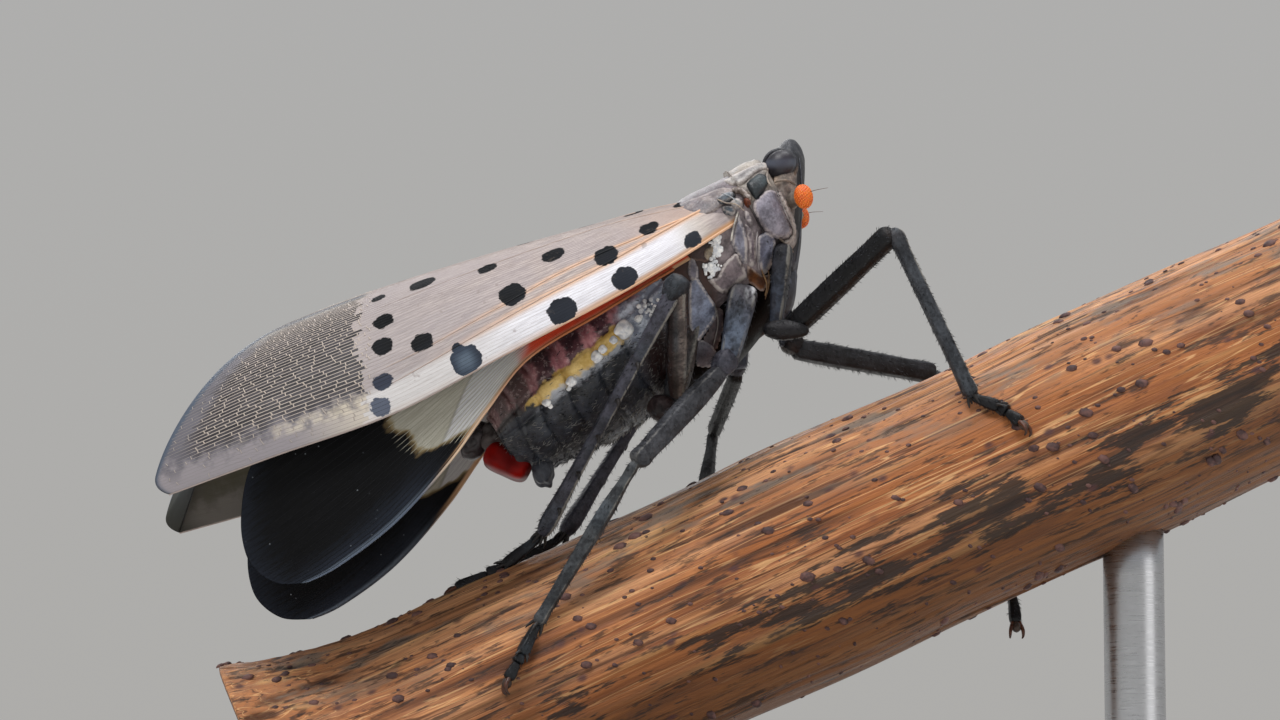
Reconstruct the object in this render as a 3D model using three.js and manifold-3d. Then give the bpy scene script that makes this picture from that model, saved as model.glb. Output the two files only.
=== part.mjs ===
// A spotted lanternfly (Lycorma delicatula), life size, sitting on a short cut length of dry stem that two
// rods carry over a flat base. Millimetres, +Z up. The insect faces +X and its right side is -Y. The origin
// is the centre of the base's underside.

import * as THREE from "three";
import { mergeVertices } from "three/addons/utils/BufferGeometryUtils.js";
import Module from "manifold-3d";

const wasm = await Module();
wasm.setup();

// Driving dimensions

const SPLIT = 0.06; // width of the thin cuts between neighbouring pieces

const BASE = { length: 44, width: 24, thickness: 4, corner: 1.2 };
const ROD_RADIUS = 1;
const ROD_AT = { front: 13.2, rear: -10.2 }; // X of the two rods

const STEM = {
  radius: 3.9,
  slope: 0.4613, // rise for each millimetre along X
  height: 22.1, // of the axis over the origin
  rear: -16.2, // the two cut ends, measured along the axis
  front: 22.6,
  swelling: 1.1, // extra radius at the rear end, where the next node of the stem begins
  swellingLength: 6.5,
  flats: { count: 5, depth: 0.06, twist: 0.08 }, // shallow lengthwise flats, turning as they go along
  waves: { depth: 0.05, pace: 0.55 }, // slow changes of the stem's thickness
};

// The wings lie like a roof. A roof station is measured along the wing from its base, and its height is
// square to the wing's length, from the line through the base.
const ROOF = { baseX: -0.1, baseZ: 34.9, tilt: THREE.MathUtils.degToRad(26) };
const ROOF_HALF_WIDTH = smooth([[0, 2.7], [4, 4.4], [9, 5.5], [13.5, 5.9], [17, 5.75], [21, 4.6]]);
const ROOF_EAVE = smooth([[0, -0.75], [4, -1.4], [9, -1.76], [13, -1.95], [17, -1.5], [21, -0.95]]);
const ROOF_CREST = smooth([[0, 0.75], [4, 1.5], [9, 2.35], [13.5, 2.9], [17, 3.0], [21, 2.8]]);
const TEGMEN = {
  length: 21,
  slant: 7.6, // how much shorter the wing is along its inner margin
  slantPower: 1.45,
  tipCorner: 0.5, // rounding where the costal margin meets the tip, over this share of the tip's height
  tipCornerShare: 0.12,
  thickness: 0.5,
  innerGap: 0.12, // from the midline, where both tegmina meet
};
const INNER_MARGIN = smooth([[0, 1.9], [2, 1.1], [4.6, TEGMEN.innerGap], [21, TEGMEN.innerGap]]);
const HINDWING = {
  thickness: 0.5,
  inset: TEGMEN.thickness + 0.15, // how far it lies inside the tegmen
  flare: 0.05, // outward lean of the hanging part
};
const HINDWING_LEADING = [[2, -1.25], [5.2, -1.7], [8.2, -2.1], [10.2, -3.1], [12, -4.1], [14.4, -5.1],
  [16.6, -5.55], [17.8, -5.55]];
const HINDWING_OUTER = [[17.8, -5.55], [18.6, -5.15], [19.05, -4.45], [19.1, -3.7], [18.75, -2.7],
  [17.9, -1.5], [16.6, -0.6]];
const HINDWING_INNER = [[2.2, -0.5], [6, -0.1], [10, 0], [14, -0.1], [16.6, -0.6]];
// The left wings are held a little further back than the right ones.
const WINGS = { right: { side: -1, slide: 0 }, left: { side: 1, slide: 0.5 } };
// What no body piece may reach: a layer over each wing, and the wing itself, widened past its margins.
const WING_ROOM = { overTegmen: 3, overHindwing: 1, beyond: 0.02 };

// How far the face slopes back under the body at each height.
const FACE_BACK = smooth([[31.2, 0.6], [32, 0.36], [32.75, 0.3], [33.8, 0.15], [34.66, 0.13], [35.9, 0.05],
  [36.5, 0.02], [37.4, 0]]);
// Body lengths: stations of [X and Z of the centre, half height, half width], how far their rings lean
// back, how square the rings are and how much narrower they are at the bottom than at the top.
const TRUNKS = {
  head: {
    lean: 0, squareness: 2.2, keel: 0.22, back: FACE_BACK,
    stations: [[1.5, 35.2, 1.65, 1.5], [1.72, 35.05, 2.14, 1.62], [2.02, 34.95, 2.4, 1.5],
      [2.28, 34.9, 2.38, 1.2], [2.48, 34.87, 2.05, 0.7]],
  },
  clypeus: {
    lean: 0, squareness: 2, keel: 0, back: FACE_BACK,
    stations: [[1.8, 32.1, 0.6, 0.7], [2.08, 32.05, 0.98, 0.78], [2.34, 32.15, 0.92, 0.62],
      [2.48, 32.3, 0.6, 0.36]],
  },
  pronotum: {
    lean: 28, squareness: 2.4, keel: 0.05,
    stations: [[0.72, 34.66, 1.74, 2.55], [1.2, 34.98, 1.72, 2.35], [1.58, 35.3, 1.5, 1.8]],
  },
  thorax: {
    lean: 28, squareness: 2.4, keel: 0.1,
    stations: [[0.68, 34.6, 1.66, 2.45], [0.14, 34, 1.95, 2.7], [-0.69, 33.4, 2.1, 2.85],
      [-1.51, 32.5, 2.2, 2.85], [-2, 31.98, 2.2, 2.85]],
  },
  abdomen: {
    lean: 31, squareness: 2.15, keel: 0.08,
    stations: [[-2.05, 31.93, 2.2, 2.85], [-3, 30.9, 2.25, 3.05], [-4, 30.02, 2.26, 3.1],
      [-5.11, 29.16, 2.14, 3], [-6.17, 28.4, 1.9, 2.7], [-7, 27.72, 1.5, 2.15], [-7.6, 27.3, 0.9, 1.3]],
  },
};
// Rounded lobes at the end of the abdomen: centre, half length, width and height, lean of the length.
const GENITAL_LOBE = { centre: [-7.3, 0, 26.6], half: [0.85, 1.05, 0.62], lean: 35 };
const ANAL_LOBE = { centre: [-8.45, 0, 27.3], half: [0.62, 0.62, 0.5], lean: 60 };

const EYE = { x: 1.67, y: 1.5, z: 36.25, across: 1.0, tall: 1.04, depth: 0.42 };
const ANTENNA = { rootX: 1.8, rootY: 1.3, x: 2.36, y: 2, z: 35.15, bulb: 0.31, stalk: 0.26 };
const TEGULA = { x: -0.1, y: 2.55, z: 34.9, along: 0.56, across: 0.4, tall: 0.42 };
const ROSTRUM = { radius: 0.28, route: [[2.05, 31.35], [1.4, 31.35], [0.2, 30.4], [-1.5, 28.9]] };

// Leg landmarks as [X, Y, Z]: top of the coxa, trochanter, knee, ankle, the bend of the foot and its tip.
// The six legs stand apart as the living insect placed them, so each has landmarks of its own.
const LEGS = {
  front_right: {
    coxa: [1.72, -1.75, 33.6], trochanter: [1.6, -1.7, 30.85], knee: [5.2, -4.3, 33.6],
    ankle: [7.76, -3.45, 28.3], instep: [8.63, -3.75, 27.95], toe: [9.28, -4.05, 27.4],
  },
  front_left: {
    coxa: [1.75, 1.75, 33.6], trochanter: [2.0, 1.6, 30.7], knee: [6.95, 3.75, 30.05],
    ankle: [9.2, 4.4, 25], instep: [9.37, 3.4, 23.1], toe: [9.5, 2.5, 21.5],
  },
  mid_right: {
    coxa: [0.44, -2.3, 32.15], trochanter: [-0.12, -2.3, 29.6], knee: [-3.15, -4.5, 26.02],
    ankle: [-6.31, -3.8, 20.89], instep: [-6.8, -4.1, 19.9], toe: [-7.22, -4.2, 19.1],
  },
  mid_left: {
    coxa: [0.16, 2.3, 32.07], trochanter: [0.3, 2.3, 30.0], knee: [-0.5, 6.4, 28.4],
    ankle: [-1.32, 4.4, 22.46], instep: [-1.5, 4.25, 21.5], toe: [-1.66, 4.2, 20.6],
  },
  hind_right: {
    coxa: [-1.3, -1.8, 31.4], trochanter: [-1.95, -1.7, 28.2], knee: [-1.82, -4.9, 31.72],
    ankle: [-6.24, -0.95, 24.05], instep: [-7.5, -0.8, 23.05], toe: [-9.05, -0.65, 22.35],
  },
  hind_left: {
    coxa: [-1.3, 1.8, 31.4], trochanter: [-1.8, 1.7, 28.6], knee: [-0.66, 4.6, 32.65],
    ankle: [-5.56, 1.95, 24.35], instep: [-6.9, 1.85, 23.5], toe: [-8.04, 1.75, 22.95],
  },
};
// How far from the joint before it each piece starts, as a share of its stretch, and how it tapers.
const LEG_START = { femur: 0.06, tibia: 0.03, tarsus: 0.2 };
const LEG_TAPER = { coxa: [1.15, 1, 0.9], femur: [0.8, 1, 0.8], tibia: [1.15, 1, 1], tarsus: [1, 1, 0.8] };
const LEG_RADII = {
  front: { coxa: 0.4, femur: 0.42, tibia: 0.27, tarsus: 0.25 },
  mid: { coxa: 0.42, femur: 0.42, tibia: 0.3, tarsus: 0.25 },
  hind: { coxa: 0.5, femur: 0.46, tibia: 0.34, tarsus: 0.25 },
};

// Colours with roughness, one for each kind of surface
const FINISH = {
  wing: [0xb9aea6, 0.55],
  hindwing: [0x15171c, 0.5],
  head: [0x4a4646, 0.5],
  clypeus: [0x5a5452, 0.5],
  eye: [0x1c1a1a, 0.2],
  antenna: [0xe8601c, 0.55],
  pronotum: [0x9a8d80, 0.6],
  thorax: [0x5b5658, 0.6],
  tegula: [0x77808c, 0.35],
  abdomen: [0x6d5a50, 0.65],
  genital: [0xb01a14, 0.4],
  anal: [0x3a3431, 0.6],
  leg: [0x2c2d30, 0.55],
  stem: [0xb97a45, 0.8],
  base: [0x3b2a20, 0.4],
  rod: [0xb4b6b8, 0.3],
};

// Shape helpers

// A smooth curve through [x, value] pairs, flat beyond both ends.
function smooth(pairs) {
  const slope = (i) => {
    const a = pairs[Math.max(i - 1, 0)];
    const b = pairs[Math.min(i + 1, pairs.length - 1)];
    return (b[1] - a[1]) / (b[0] - a[0]);
  };
  return (x) => {
    if (x <= pairs[0][0]) return pairs[0][1];
    if (x >= pairs.at(-1)[0]) return pairs.at(-1)[1];
    const i = pairs.findIndex((pair) => pair[0] > x) - 1;
    const span = pairs[i + 1][0] - pairs[i][0];
    const t = (x - pairs[i][0]) / span;
    const bend = (1 - t) * (1 - t) * t * slope(i) - t * t * (1 - t) * slope(i + 1);
    const ease = t * t * (3 - 2 * t);
    return pairs[i][1] * (1 - ease) + pairs[i + 1][1] * ease + bend * span;
  };
}

// A smooth path through 2-D points, read at 0 to 1, and straight on a little beyond both ends.
function path(points) {
  const curve = new THREE.SplineCurve(points.map(([x, y]) => new THREE.Vector2(x, y)));
  return (t) => {
    const inside = THREE.MathUtils.clamp(t, 0, 1);
    const step = inside === 0 ? 0.05 : -0.05;
    const point = curve.getPoint(inside);
    return t === inside ? point : point.lerp(curve.getPoint(inside + step), (t - inside) / step);
  };
}

// A closed surface through rings of equally many points, with a fan over each end.
function skin(rings) {
  const count = rings[0].length;
  const middle = (ring) => ring.reduce((sum, p) => sum.add(p), new THREE.Vector3()).divideScalar(count);
  const vertices = [...rings.flat(), middle(rings[0]), middle(rings.at(-1))];
  const first = vertices.length - 2;
  const faces = [];
  for (let i = 0; i < count; i++) {
    const j = (i + 1) % count;
    for (let r = 0; r < rings.length - 1; r++) {
      const a = r * count;
      const b = a + count;
      faces.push(a + i, a + j, b + j, a + i, b + j, b + i);
    }
    const last = (rings.length - 1) * count;
    faces.push(first, j, i, first + 1, last + i, last + j);
  }
  return facing(new THREE.BufferGeometry().setFromPoints(vertices).setIndex(faces));
}

// The geometry with its faces turned outwards.
function facing(geometry) {
  const p = geometry.getAttribute("position");
  const index = geometry.index.array;
  const corner = (i) => new THREE.Vector3().fromBufferAttribute(p, index[i]);
  let volume = 0;
  for (let i = 0; i < index.length; i += 3) {
    volume += corner(i).dot(corner(i + 1).cross(corner(i + 2)));
  }
  if (volume < 0) {
    for (let i = 0; i < index.length; i += 3) {
      [index[i], index[i + 1]] = [index[i + 1], index[i]];
    }
  }
  return geometry;
}

// A body length: superelliptic rings through its stations, each leaning back.
function trunk({ stations, lean, squareness, keel, back = () => 0 }, grow = 0) {
  const [sides, steps] = [18, 2];
  const pitch = THREE.MathUtils.degToRad(lean);
  const centres = new THREE.CatmullRomCurve3(stations.map(([x, z]) => new THREE.Vector3(x, 0, z)));
  const sizes = new THREE.CatmullRomCurve3(
    stations.map(([, , tall, wide]) => new THREE.Vector3(tall, wide, 0)));
  const count = (stations.length - 1) * steps;
  const up = new THREE.Vector3(-Math.sin(pitch), 0, Math.cos(pitch));
  const bow = (value) => Math.sign(value) * Math.abs(value) ** (2 / squareness);
  const rings = [];
  for (let k = 0; k <= count; k++) {
    const centre = centres.getPoint(k / count);
    const size = sizes.getPoint(k / count);
    rings.push(around(sides, (angle) => {
      const wide = size.y * (1 + keel * Math.sin(angle)) + grow;
      const point = centre.clone().addScaledVector(up, (size.x + grow) * bow(Math.sin(angle)));
      point.y = wide * bow(Math.cos(angle));
      point.x -= back(point.z);
      return point;
    }));
  }
  return skin(rings);
}

function around(sides, make) {
  return Array.from({ length: sides }, (_, i) => make((i * 2 * Math.PI) / sides));
}

// A limb: round rings along a smooth route of [X, Y, Z], with domed ends.
function limb(route, radii, grow = 0) {
  const sides = 7;
  const dome = { reach: 0.75, width: 0.6 }; // of the end ring, as shares of the radius
  const curve = new THREE.CatmullRomCurve3(route.map((p) => new THREE.Vector3(...p)), false, "centripetal");
  const radiusAt = smooth(radii.map((r, i) => [i / (radii.length - 1), r]));
  const count = route.length - 1;
  const side = new THREE.Vector3();
  const rings = [];
  const ring = (t, shift, scale) => {
    const tangent = curve.getTangent(t);
    if (!rings.length) side.set(0, 0, 1).cross(tangent).normalize();
    side.addScaledVector(tangent, -side.dot(tangent)).normalize();
    const other = tangent.clone().cross(side);
    const radius = (radiusAt(t) + grow) * scale;
    const centre = curve.getPoint(t).addScaledVector(tangent, shift * (radiusAt(t) + grow));
    rings.push(around(sides, (angle) => centre.clone()
      .addScaledVector(side, radius * Math.cos(angle))
      .addScaledVector(other, radius * Math.sin(angle))));
  };
  ring(0, -dome.reach, dome.width);
  for (let k = 0; k <= count; k++) ring(k / count, 0, 1);
  ring(1, dome.reach, dome.width);
  return skin(rings);
}

function ellipsoid([x, y, z], [a, b, c], lean = 0) {
  return new THREE.SphereGeometry(1, 10, 7)
    .scale(a, b, c)
    .rotateY(-THREE.MathUtils.degToRad(lean))
    .translate(x, y, z);
}

// A thin shell on a wing's surface point(u, v), from `inside` under it to `outside` over it. `beyond` widens
// it past its margins by that share of its size.
function shell(point, { side, across, down, inside, outside = 0, beyond = 0 }) {
  const nudge = 1e-3;
  const crowding = 1.3; // of the rows towards the lower margin
  const normal = (u, v) => {
    const alongU = point(u + nudge, v).sub(point(u - nudge, v));
    const alongV = point(u, v + nudge).sub(point(u, v - nudge));
    return alongU.cross(alongV).normalize().multiplyScalar(side);
  };
  const rings = [];
  for (let i = 0; i <= across; i++) {
    const over = [];
    const under = [];
    for (let j = 0; j <= down; j++) {
      const u = (i / across) * (1 + 2 * beyond) - beyond;
      const v = (j / down) ** crowding * (1 + 2 * beyond) - beyond;
      const n = normal(u, v);
      over.push(point(u, v).addScaledVector(n, outside));
      under.unshift(point(u, v).addScaledVector(n, -inside));
    }
    rings.push([...over, ...under]);
  }
  return skin(rings);
}

function solid(geometry) {
  const bare = geometry.clone();
  bare.deleteAttribute("normal");
  bare.deleteAttribute("uv");
  const merged = mergeVertices(bare, 1e-4);
  return new wasm.Manifold(new wasm.Mesh({
    numProp: 3,
    vertProperties: merged.getAttribute("position").array,
    triVerts: new Uint32Array(merged.index.array),
  }));
}

// What is left of a piece once its grown neighbours are cut away: the largest body.
function cut(piece, ...neighbours) {
  const left = neighbours.reduce((rest, other) => rest.subtract(other), piece);
  return left.decompose().reduce((a, b) => (b.volume() > a.volume() ? b : a));
}

// Insect: wings

function roofPoint(along, height, y) {
  const back = Math.cos(ROOF.tilt);
  const down = Math.sin(ROOF.tilt);
  return new THREE.Vector3(
    ROOF.baseX - along * back - height * down, y, ROOF.baseZ - along * down + height * back);
}

// A point of the tegmen: u runs from its base to its tip, v from the costal margin to the inner one.
function tegmenPoint({ side, slide }, u, v) {
  const corner = Math.max(0, 1 - v / TEGMEN.tipCornerShare);
  const slant = TEGMEN.slant * Math.max(v, 0) ** TEGMEN.slantPower;
  const end = TEGMEN.length - slant - TEGMEN.tipCorner * corner * corner;
  const along = u * end;
  const halfWidth = ROOF_HALF_WIDTH(along);
  const eave = ROOF_EAVE(along);
  const turn = v * Math.acos(INNER_MARGIN(along) / halfWidth);
  const height = eave + (ROOF_CREST(along) - eave) * Math.sin(turn);
  return roofPoint(along + slide, height, side * halfWidth * Math.cos(turn));
}

function tegmen(wing, room = {}) {
  const size = { side: wing.side, across: 15, down: 7, inside: TEGMEN.thickness };
  return solid(shell((u, v) => tegmenPoint(wing, u, v), { ...size, ...room }));
}

// Half width of the hindwing at a height: it follows the roof under the tegmen and hangs below the eave.
function hindwingY(along, height) {
  const eave = ROOF_EAVE(along);
  const lift = Math.min(0.98, Math.max(0, (height - eave) / (ROOF_CREST(along) - eave)));
  const hang = Math.max(0, eave - height);
  return ROOF_HALF_WIDTH(along) * Math.sqrt(1 - lift * lift) - HINDWING.inset + HINDWING.flare * hang;
}

// A point of the hindwing between its margins: u from base to outer margin, v from leading to inner margin.
function hindwingPoint({ side, slide }, u, v) {
  const [leading, inner, outer] = [HINDWING_LEADING, HINDWING_INNER, HINDWING_OUTER].map(path);
  const bulge = outer(v).sub(leading(1).lerp(inner(1), v)).multiplyScalar(u);
  const flat = leading(u).lerp(inner(u), v).add(bulge);
  return roofPoint(flat.x + slide, flat.y, side * hindwingY(flat.x, flat.y));
}

function hindwing(wing, room = {}) {
  const size = { side: wing.side, across: 11, down: 5, inside: HINDWING.thickness };
  return solid(shell((u, v) => hindwingPoint(wing, u, v), { ...size, ...room }));
}

// Insect: legs

// The pieces of one leg as routes and radii, from the body outwards.
function legPieces(marks, radii) {
  const mix = (a, b, t) => a.map((value, i) => value + (b[i] - value) * t);
  const { coxa, trochanter, knee, ankle, instep, toe } = marks;
  const routes = {
    coxa: [coxa, mix(coxa, trochanter, 0.5), trochanter],
    femur: [mix(trochanter, knee, LEG_START.femur), mix(trochanter, knee, 0.5), knee],
    tibia: [mix(knee, ankle, LEG_START.tibia), mix(knee, ankle, 0.5), ankle],
    tarsus: [mix(ankle, instep, LEG_START.tarsus), instep, toe],
  };
  return Object.entries(routes).map(([piece, route]) => ({
    piece,
    route,
    radii: LEG_TAPER[piece].map((share) => share * radii[piece]),
  }));
}

// Insect: eye, antenna and wing-root cap, grown by a margin

function eye(side, grow) {
  const half = [EYE.across / 2, EYE.depth, EYE.tall / 2].map((r) => r + grow);
  return solid(ellipsoid([EYE.x, side * EYE.y, EYE.z], half));
}

function antenna(side, grow) {
  const root = [ANTENNA.rootX, side * ANTENNA.rootY, ANTENNA.z];
  const end = [ANTENNA.x, side * ANTENNA.y, ANTENNA.z];
  const bulb = ellipsoid(end, [ANTENNA.bulb, ANTENNA.bulb, ANTENNA.bulb * 1.25].map((r) => r + grow));
  return solid(limb([root, end], [ANTENNA.stalk, ANTENNA.stalk], grow)).add(solid(bulb));
}

function tegula(side, grow) {
  const size = [TEGULA.along, TEGULA.across, TEGULA.tall].map((r) => r + grow);
  return solid(ellipsoid([TEGULA.x, side * TEGULA.y, TEGULA.z], size, 25));
}

// Perch and stand

function stemPoint(along, angle, grow) {
  const { flats, waves } = STEM;
  const flare = STEM.swelling * Math.max(0, 1 - (along - STEM.rear) / STEM.swellingLength) ** 2;
  const flat = flats.depth * Math.sin(flats.count * angle + flats.twist * along);
  const radius = STEM.radius + flare + flat + waves.depth * Math.sin(waves.pace * along) + grow;
  const tilt = Math.atan(STEM.slope);
  const up = radius * Math.sin(angle);
  return new THREE.Vector3(
    along * Math.cos(tilt) - up * Math.sin(tilt),
    radius * Math.cos(angle),
    STEM.height + along * Math.sin(tilt) + up * Math.cos(tilt));
}

function stem(grow = 0) {
  const [sides, steps] = [20, 12];
  const rings = [];
  for (let k = 0; k <= steps; k++) {
    const along = STEM.rear - grow + ((STEM.front - STEM.rear + 2 * grow) * k) / steps;
    rings.push(around(sides, (angle) => stemPoint(along, angle, grow)));
  }
  return skin(rings);
}

function rod(x) {
  const top = STEM.height + STEM.slope * x;
  return new THREE.CylinderGeometry(ROD_RADIUS, ROD_RADIUS, top - BASE.thickness - SPLIT, 12)
    .rotateX(Math.PI / 2)
    .translate(x, 0, (top + BASE.thickness + SPLIT) / 2);
}

function base() {
  const outline = new THREE.Shape();
  const [x, y, r] = [BASE.length / 2, BASE.width / 2, BASE.corner];
  outline.moveTo(-x + r, -y).lineTo(x - r, -y).absarc(x - r, -y + r, r, -Math.PI / 2, 0);
  outline.absarc(x - r, y - r, r, 0, Math.PI / 2).absarc(-x + r, y - r, r, Math.PI / 2, Math.PI);
  outline.absarc(-x + r, -y + r, r, Math.PI, Math.PI * 1.5);
  return new THREE.ExtrudeGeometry(outline, { depth: BASE.thickness, bevelEnabled: false, curveSegments: 3 });
}

// Assembly

const lanternfly = new THREE.Group();
lanternfly.name = "lanternfly";

function add(name, body, finish) {
  const made = body.getMesh();
  const geometry = new THREE.BufferGeometry()
    .setAttribute("position", new THREE.BufferAttribute(new Float32Array(made.vertProperties), 3))
    .setIndex(new THREE.BufferAttribute(new Uint32Array(made.triVerts), 1));
  const [color, roughness] = FINISH[finish];
  const metalness = finish === "rod" ? 1 : 0;
  const mesh = new THREE.Mesh(geometry, new THREE.MeshStandardMaterial({ color, roughness, metalness }));
  mesh.name = name;
  lanternfly.add(mesh);
}

// Each piece is cut by its neighbours, grown by the width of a cut. A name ending in Room is a grown piece.
const stemRoom = solid(stem(SPLIT));
add("perch_stem", solid(stem()), "stem");
add("stand_base", solid(base()), "base");
for (const [end, x] of Object.entries(ROD_AT)) add(`stand_rod_${end}`, cut(solid(rod(x)), stemRoom), "rod");

const smallRoom = [];
for (const [name, { side }] of Object.entries(WINGS)) {
  for (const [kind, make] of Object.entries({ eye, antenna, tegula })) {
    add(`${kind}_${name}`, make(side, 0), kind);
    smallRoom.push(make(side, SPLIT));
  }
}

const wingRoom = [];
for (const [name, wing] of Object.entries(WINGS)) {
  const room = { inside: TEGMEN.thickness + SPLIT, beyond: WING_ROOM.beyond };
  const tegmenRoom = tegmen(wing, { outside: SPLIT, ...room });
  add(`tegmen_${name}`, cut(tegmen(wing), ...smallRoom), "wing");
  add(`hindwing_${name}`, cut(hindwing(wing), tegmenRoom, ...smallRoom), "hindwing");
  wingRoom.push(tegmen(wing, { outside: WING_ROOM.overTegmen, ...room }));
  wingRoom.push(hindwing(wing, { outside: WING_ROOM.overHindwing, ...room }));
}

// The body from the head back: each length gives way to the ones before it.
const bodyRoom = [];
for (const [name, shape] of Object.entries(TRUNKS)) {
  add(name, cut(solid(trunk(shape)), ...bodyRoom, ...smallRoom, ...wingRoom), name);
  bodyRoom.push(solid(trunk(shape, SPLIT)));
}
function lobe({ centre, half, lean }, grow) {
  return solid(ellipsoid(centre, half.map((size) => size + grow), lean));
}

add("genital_lobe", cut(lobe(GENITAL_LOBE, 0), ...bodyRoom), "genital");
bodyRoom.push(lobe(GENITAL_LOBE, SPLIT));
add("anal_lobe", cut(lobe(ANAL_LOBE, 0), ...bodyRoom), "anal");
const rostrumRoute = ROSTRUM.route.map(([x, z]) => [x, 0, z]);
const rostrumRadii = [1.2, 1, 1, 0.9].map((share) => share * ROSTRUM.radius);
add("rostrum", cut(solid(limb(rostrumRoute, rostrumRadii)), ...bodyRoom), "leg");

for (const [leg, marks] of Object.entries(LEGS)) {
  const pieces = legPieces(marks, LEG_RADII[leg.split("_")[0]]);
  let before = [...bodyRoom, ...smallRoom];
  for (const { piece, route, radii } of pieces) {
    add(`leg_${leg}_${piece}`, cut(solid(limb(route, radii)), ...before), "leg");
    before = [solid(limb(route, radii, SPLIT)), piece === "coxa" ? bodyRoom.at(-1) : stemRoom];
  }
}

export default lanternfly;
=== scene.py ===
# %% [markdown]
# A spotted lanternfly, life size, as a museum would show it: the insect grips a cut length of dry stem, and
# two rods carry the stem over a flat base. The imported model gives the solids. This script gives every one
# of them its looks. The order is: tools, camera and light, node trees, wings, body, legs, stem, stand.

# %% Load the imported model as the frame
import math

import bpy
import numpy as np
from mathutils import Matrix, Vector, geometry
from mathutils.bvhtree import BVHTree


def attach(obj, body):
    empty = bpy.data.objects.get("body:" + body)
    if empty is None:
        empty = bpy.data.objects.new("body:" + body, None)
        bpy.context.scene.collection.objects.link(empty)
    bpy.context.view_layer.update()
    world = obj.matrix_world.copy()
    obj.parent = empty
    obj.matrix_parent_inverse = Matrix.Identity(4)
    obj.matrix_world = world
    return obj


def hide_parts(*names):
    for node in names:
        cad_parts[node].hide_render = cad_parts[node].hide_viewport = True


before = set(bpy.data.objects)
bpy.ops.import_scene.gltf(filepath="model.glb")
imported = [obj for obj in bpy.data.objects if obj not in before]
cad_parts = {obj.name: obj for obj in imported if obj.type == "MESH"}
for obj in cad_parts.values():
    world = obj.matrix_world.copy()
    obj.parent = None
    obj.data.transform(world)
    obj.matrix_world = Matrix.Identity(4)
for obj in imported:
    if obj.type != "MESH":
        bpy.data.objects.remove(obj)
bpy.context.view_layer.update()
print("nodes in the frame:", len(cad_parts))

# %% [markdown]
# Blender's unit here is the metre, and a lanternfly is 24 mm long, so every shape below is worked out in
# millimetres and scaled once, when its mesh is made. Right is -Y and the insect faces +X.

# %% Units and small number tools
MM = 0.001
SIDES = {"right": -1, "left": 1}
SEED = 7


def circle(count):
    """Evenly spaced turns of a full round."""
    return np.linspace(0, 2 * math.pi, count, endpoint=False)


def smooth(*pairs):
    """A smooth curve through (x, value) pairs, flat beyond both ends."""
    x, v = np.array(pairs, float).T
    here = np.arange(len(x))
    before, after = np.maximum(here - 1, 0), np.minimum(here + 1, len(x) - 1)
    slope = (v[after] - v[before]) / (x[after] - x[before])

    def read(at):
        at = np.clip(at, x[0], x[-1])
        k = np.clip(np.searchsorted(x, at, side="right") - 1, 0, len(x) - 2)
        span = x[k + 1] - x[k]
        t = (at - x[k]) / span
        ease = t * t * (3 - 2 * t)
        bend = (1 - t) ** 2 * t * slope[k] - t * t * (1 - t) * slope[k + 1]
        return v[k] * (1 - ease) + v[k + 1] * ease + bend * span

    return read


def step(value, low, high):
    """0 below low, 1 above high, and a soft step between them."""
    t = np.clip((value - low) / (high - low), 0, 1)
    return t * t * (3 - 2 * t)


def bump_at(value, centre, width):
    """A soft ridge of height 1 where value is near centre."""
    return np.exp(-(((value - centre) / width) ** 2))


def spline(points, at):
    """Points of a smooth path through the given ones, read at shares from 0 to 1 of the way."""
    p = np.array(points, float)
    last = len(p) - 1
    t = np.clip(np.asarray(at, float), 0, 1) * last
    k = np.minimum(t.astype(int), last - 1)
    w = (t - k)[..., None]
    p0, p1 = p[np.maximum(k - 1, 0)], p[k]
    p2, p3 = p[k + 1], p[np.minimum(k + 2, last)]
    v0, v1 = (p2 - p0) / 2, (p3 - p1) / 2
    return (2 * p1 - 2 * p2 + v0 + v1) * w**3 + (3 * p2 - 3 * p1 - 2 * v0 - v1) * w**2 + v0 * w + p1


def unit(vectors):
    return vectors / np.maximum(np.linalg.norm(vectors, axis=-1, keepdims=True), 1e-9)


def wobble(points, pitch, seed):
    """Smooth random numbers from -1 to 1 in space, with hills about pitch wide."""
    rng = np.random.default_rng(SEED + seed)
    total = 0
    for _ in range(6):
        direction = unit(rng.normal(size=3)) * 2 * math.pi / pitch * rng.uniform(0.6, 1.5)
        total = total + np.sin(points @ direction + rng.uniform(0, 2 * math.pi))
    return total / 3.5

# %% [markdown]
# Most pieces are lofts: rings of points along a path, joined to a skin. They could be sculpted, but a loft
# knows for each of its points how far along and how far round it lies, so patterns can follow the surface.
# Those numbers are kept on the mesh as attributes, where the materials find them, and as a UV map.

# %% A mesh with its marks and UV map
def corner_uv(mesh, uv):
    """UV for each face corner from one pair for each point. The second number goes round from 0 to 1, and a
    face that closes the round is lifted past 1. A pole has nan there and takes its neighbours' mean."""
    corners = np.zeros(len(mesh.loops), np.int32)
    mesh.loops.foreach_get("vertex_index", corners)
    sizes = np.zeros(len(mesh.polygons), np.int32)
    mesh.polygons.foreach_get("loop_total", sizes)
    starts = np.concatenate([[0], np.cumsum(sizes)[:-1]])
    owner = np.repeat(np.arange(len(sizes)), sizes)
    found = uv[corners]
    round_share, pole = found[:, 1], np.isnan(found[:, 1])
    highest = np.maximum.reduceat(np.where(pole, -1, round_share), starts)
    lowest = np.minimum.reduceat(np.where(pole, 2, round_share), starts)
    closing = (highest - lowest > 0.5)[owner] & (round_share < 0.5)
    round_share = np.where(closing, round_share + 1, round_share)
    known = np.add.reduceat((~pole).astype(float), starts)
    mean = np.add.reduceat(np.where(pole, 0, round_share), starts) / known
    found[:, 1] = np.where(pole, mean[owner], round_share)
    return found


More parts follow.
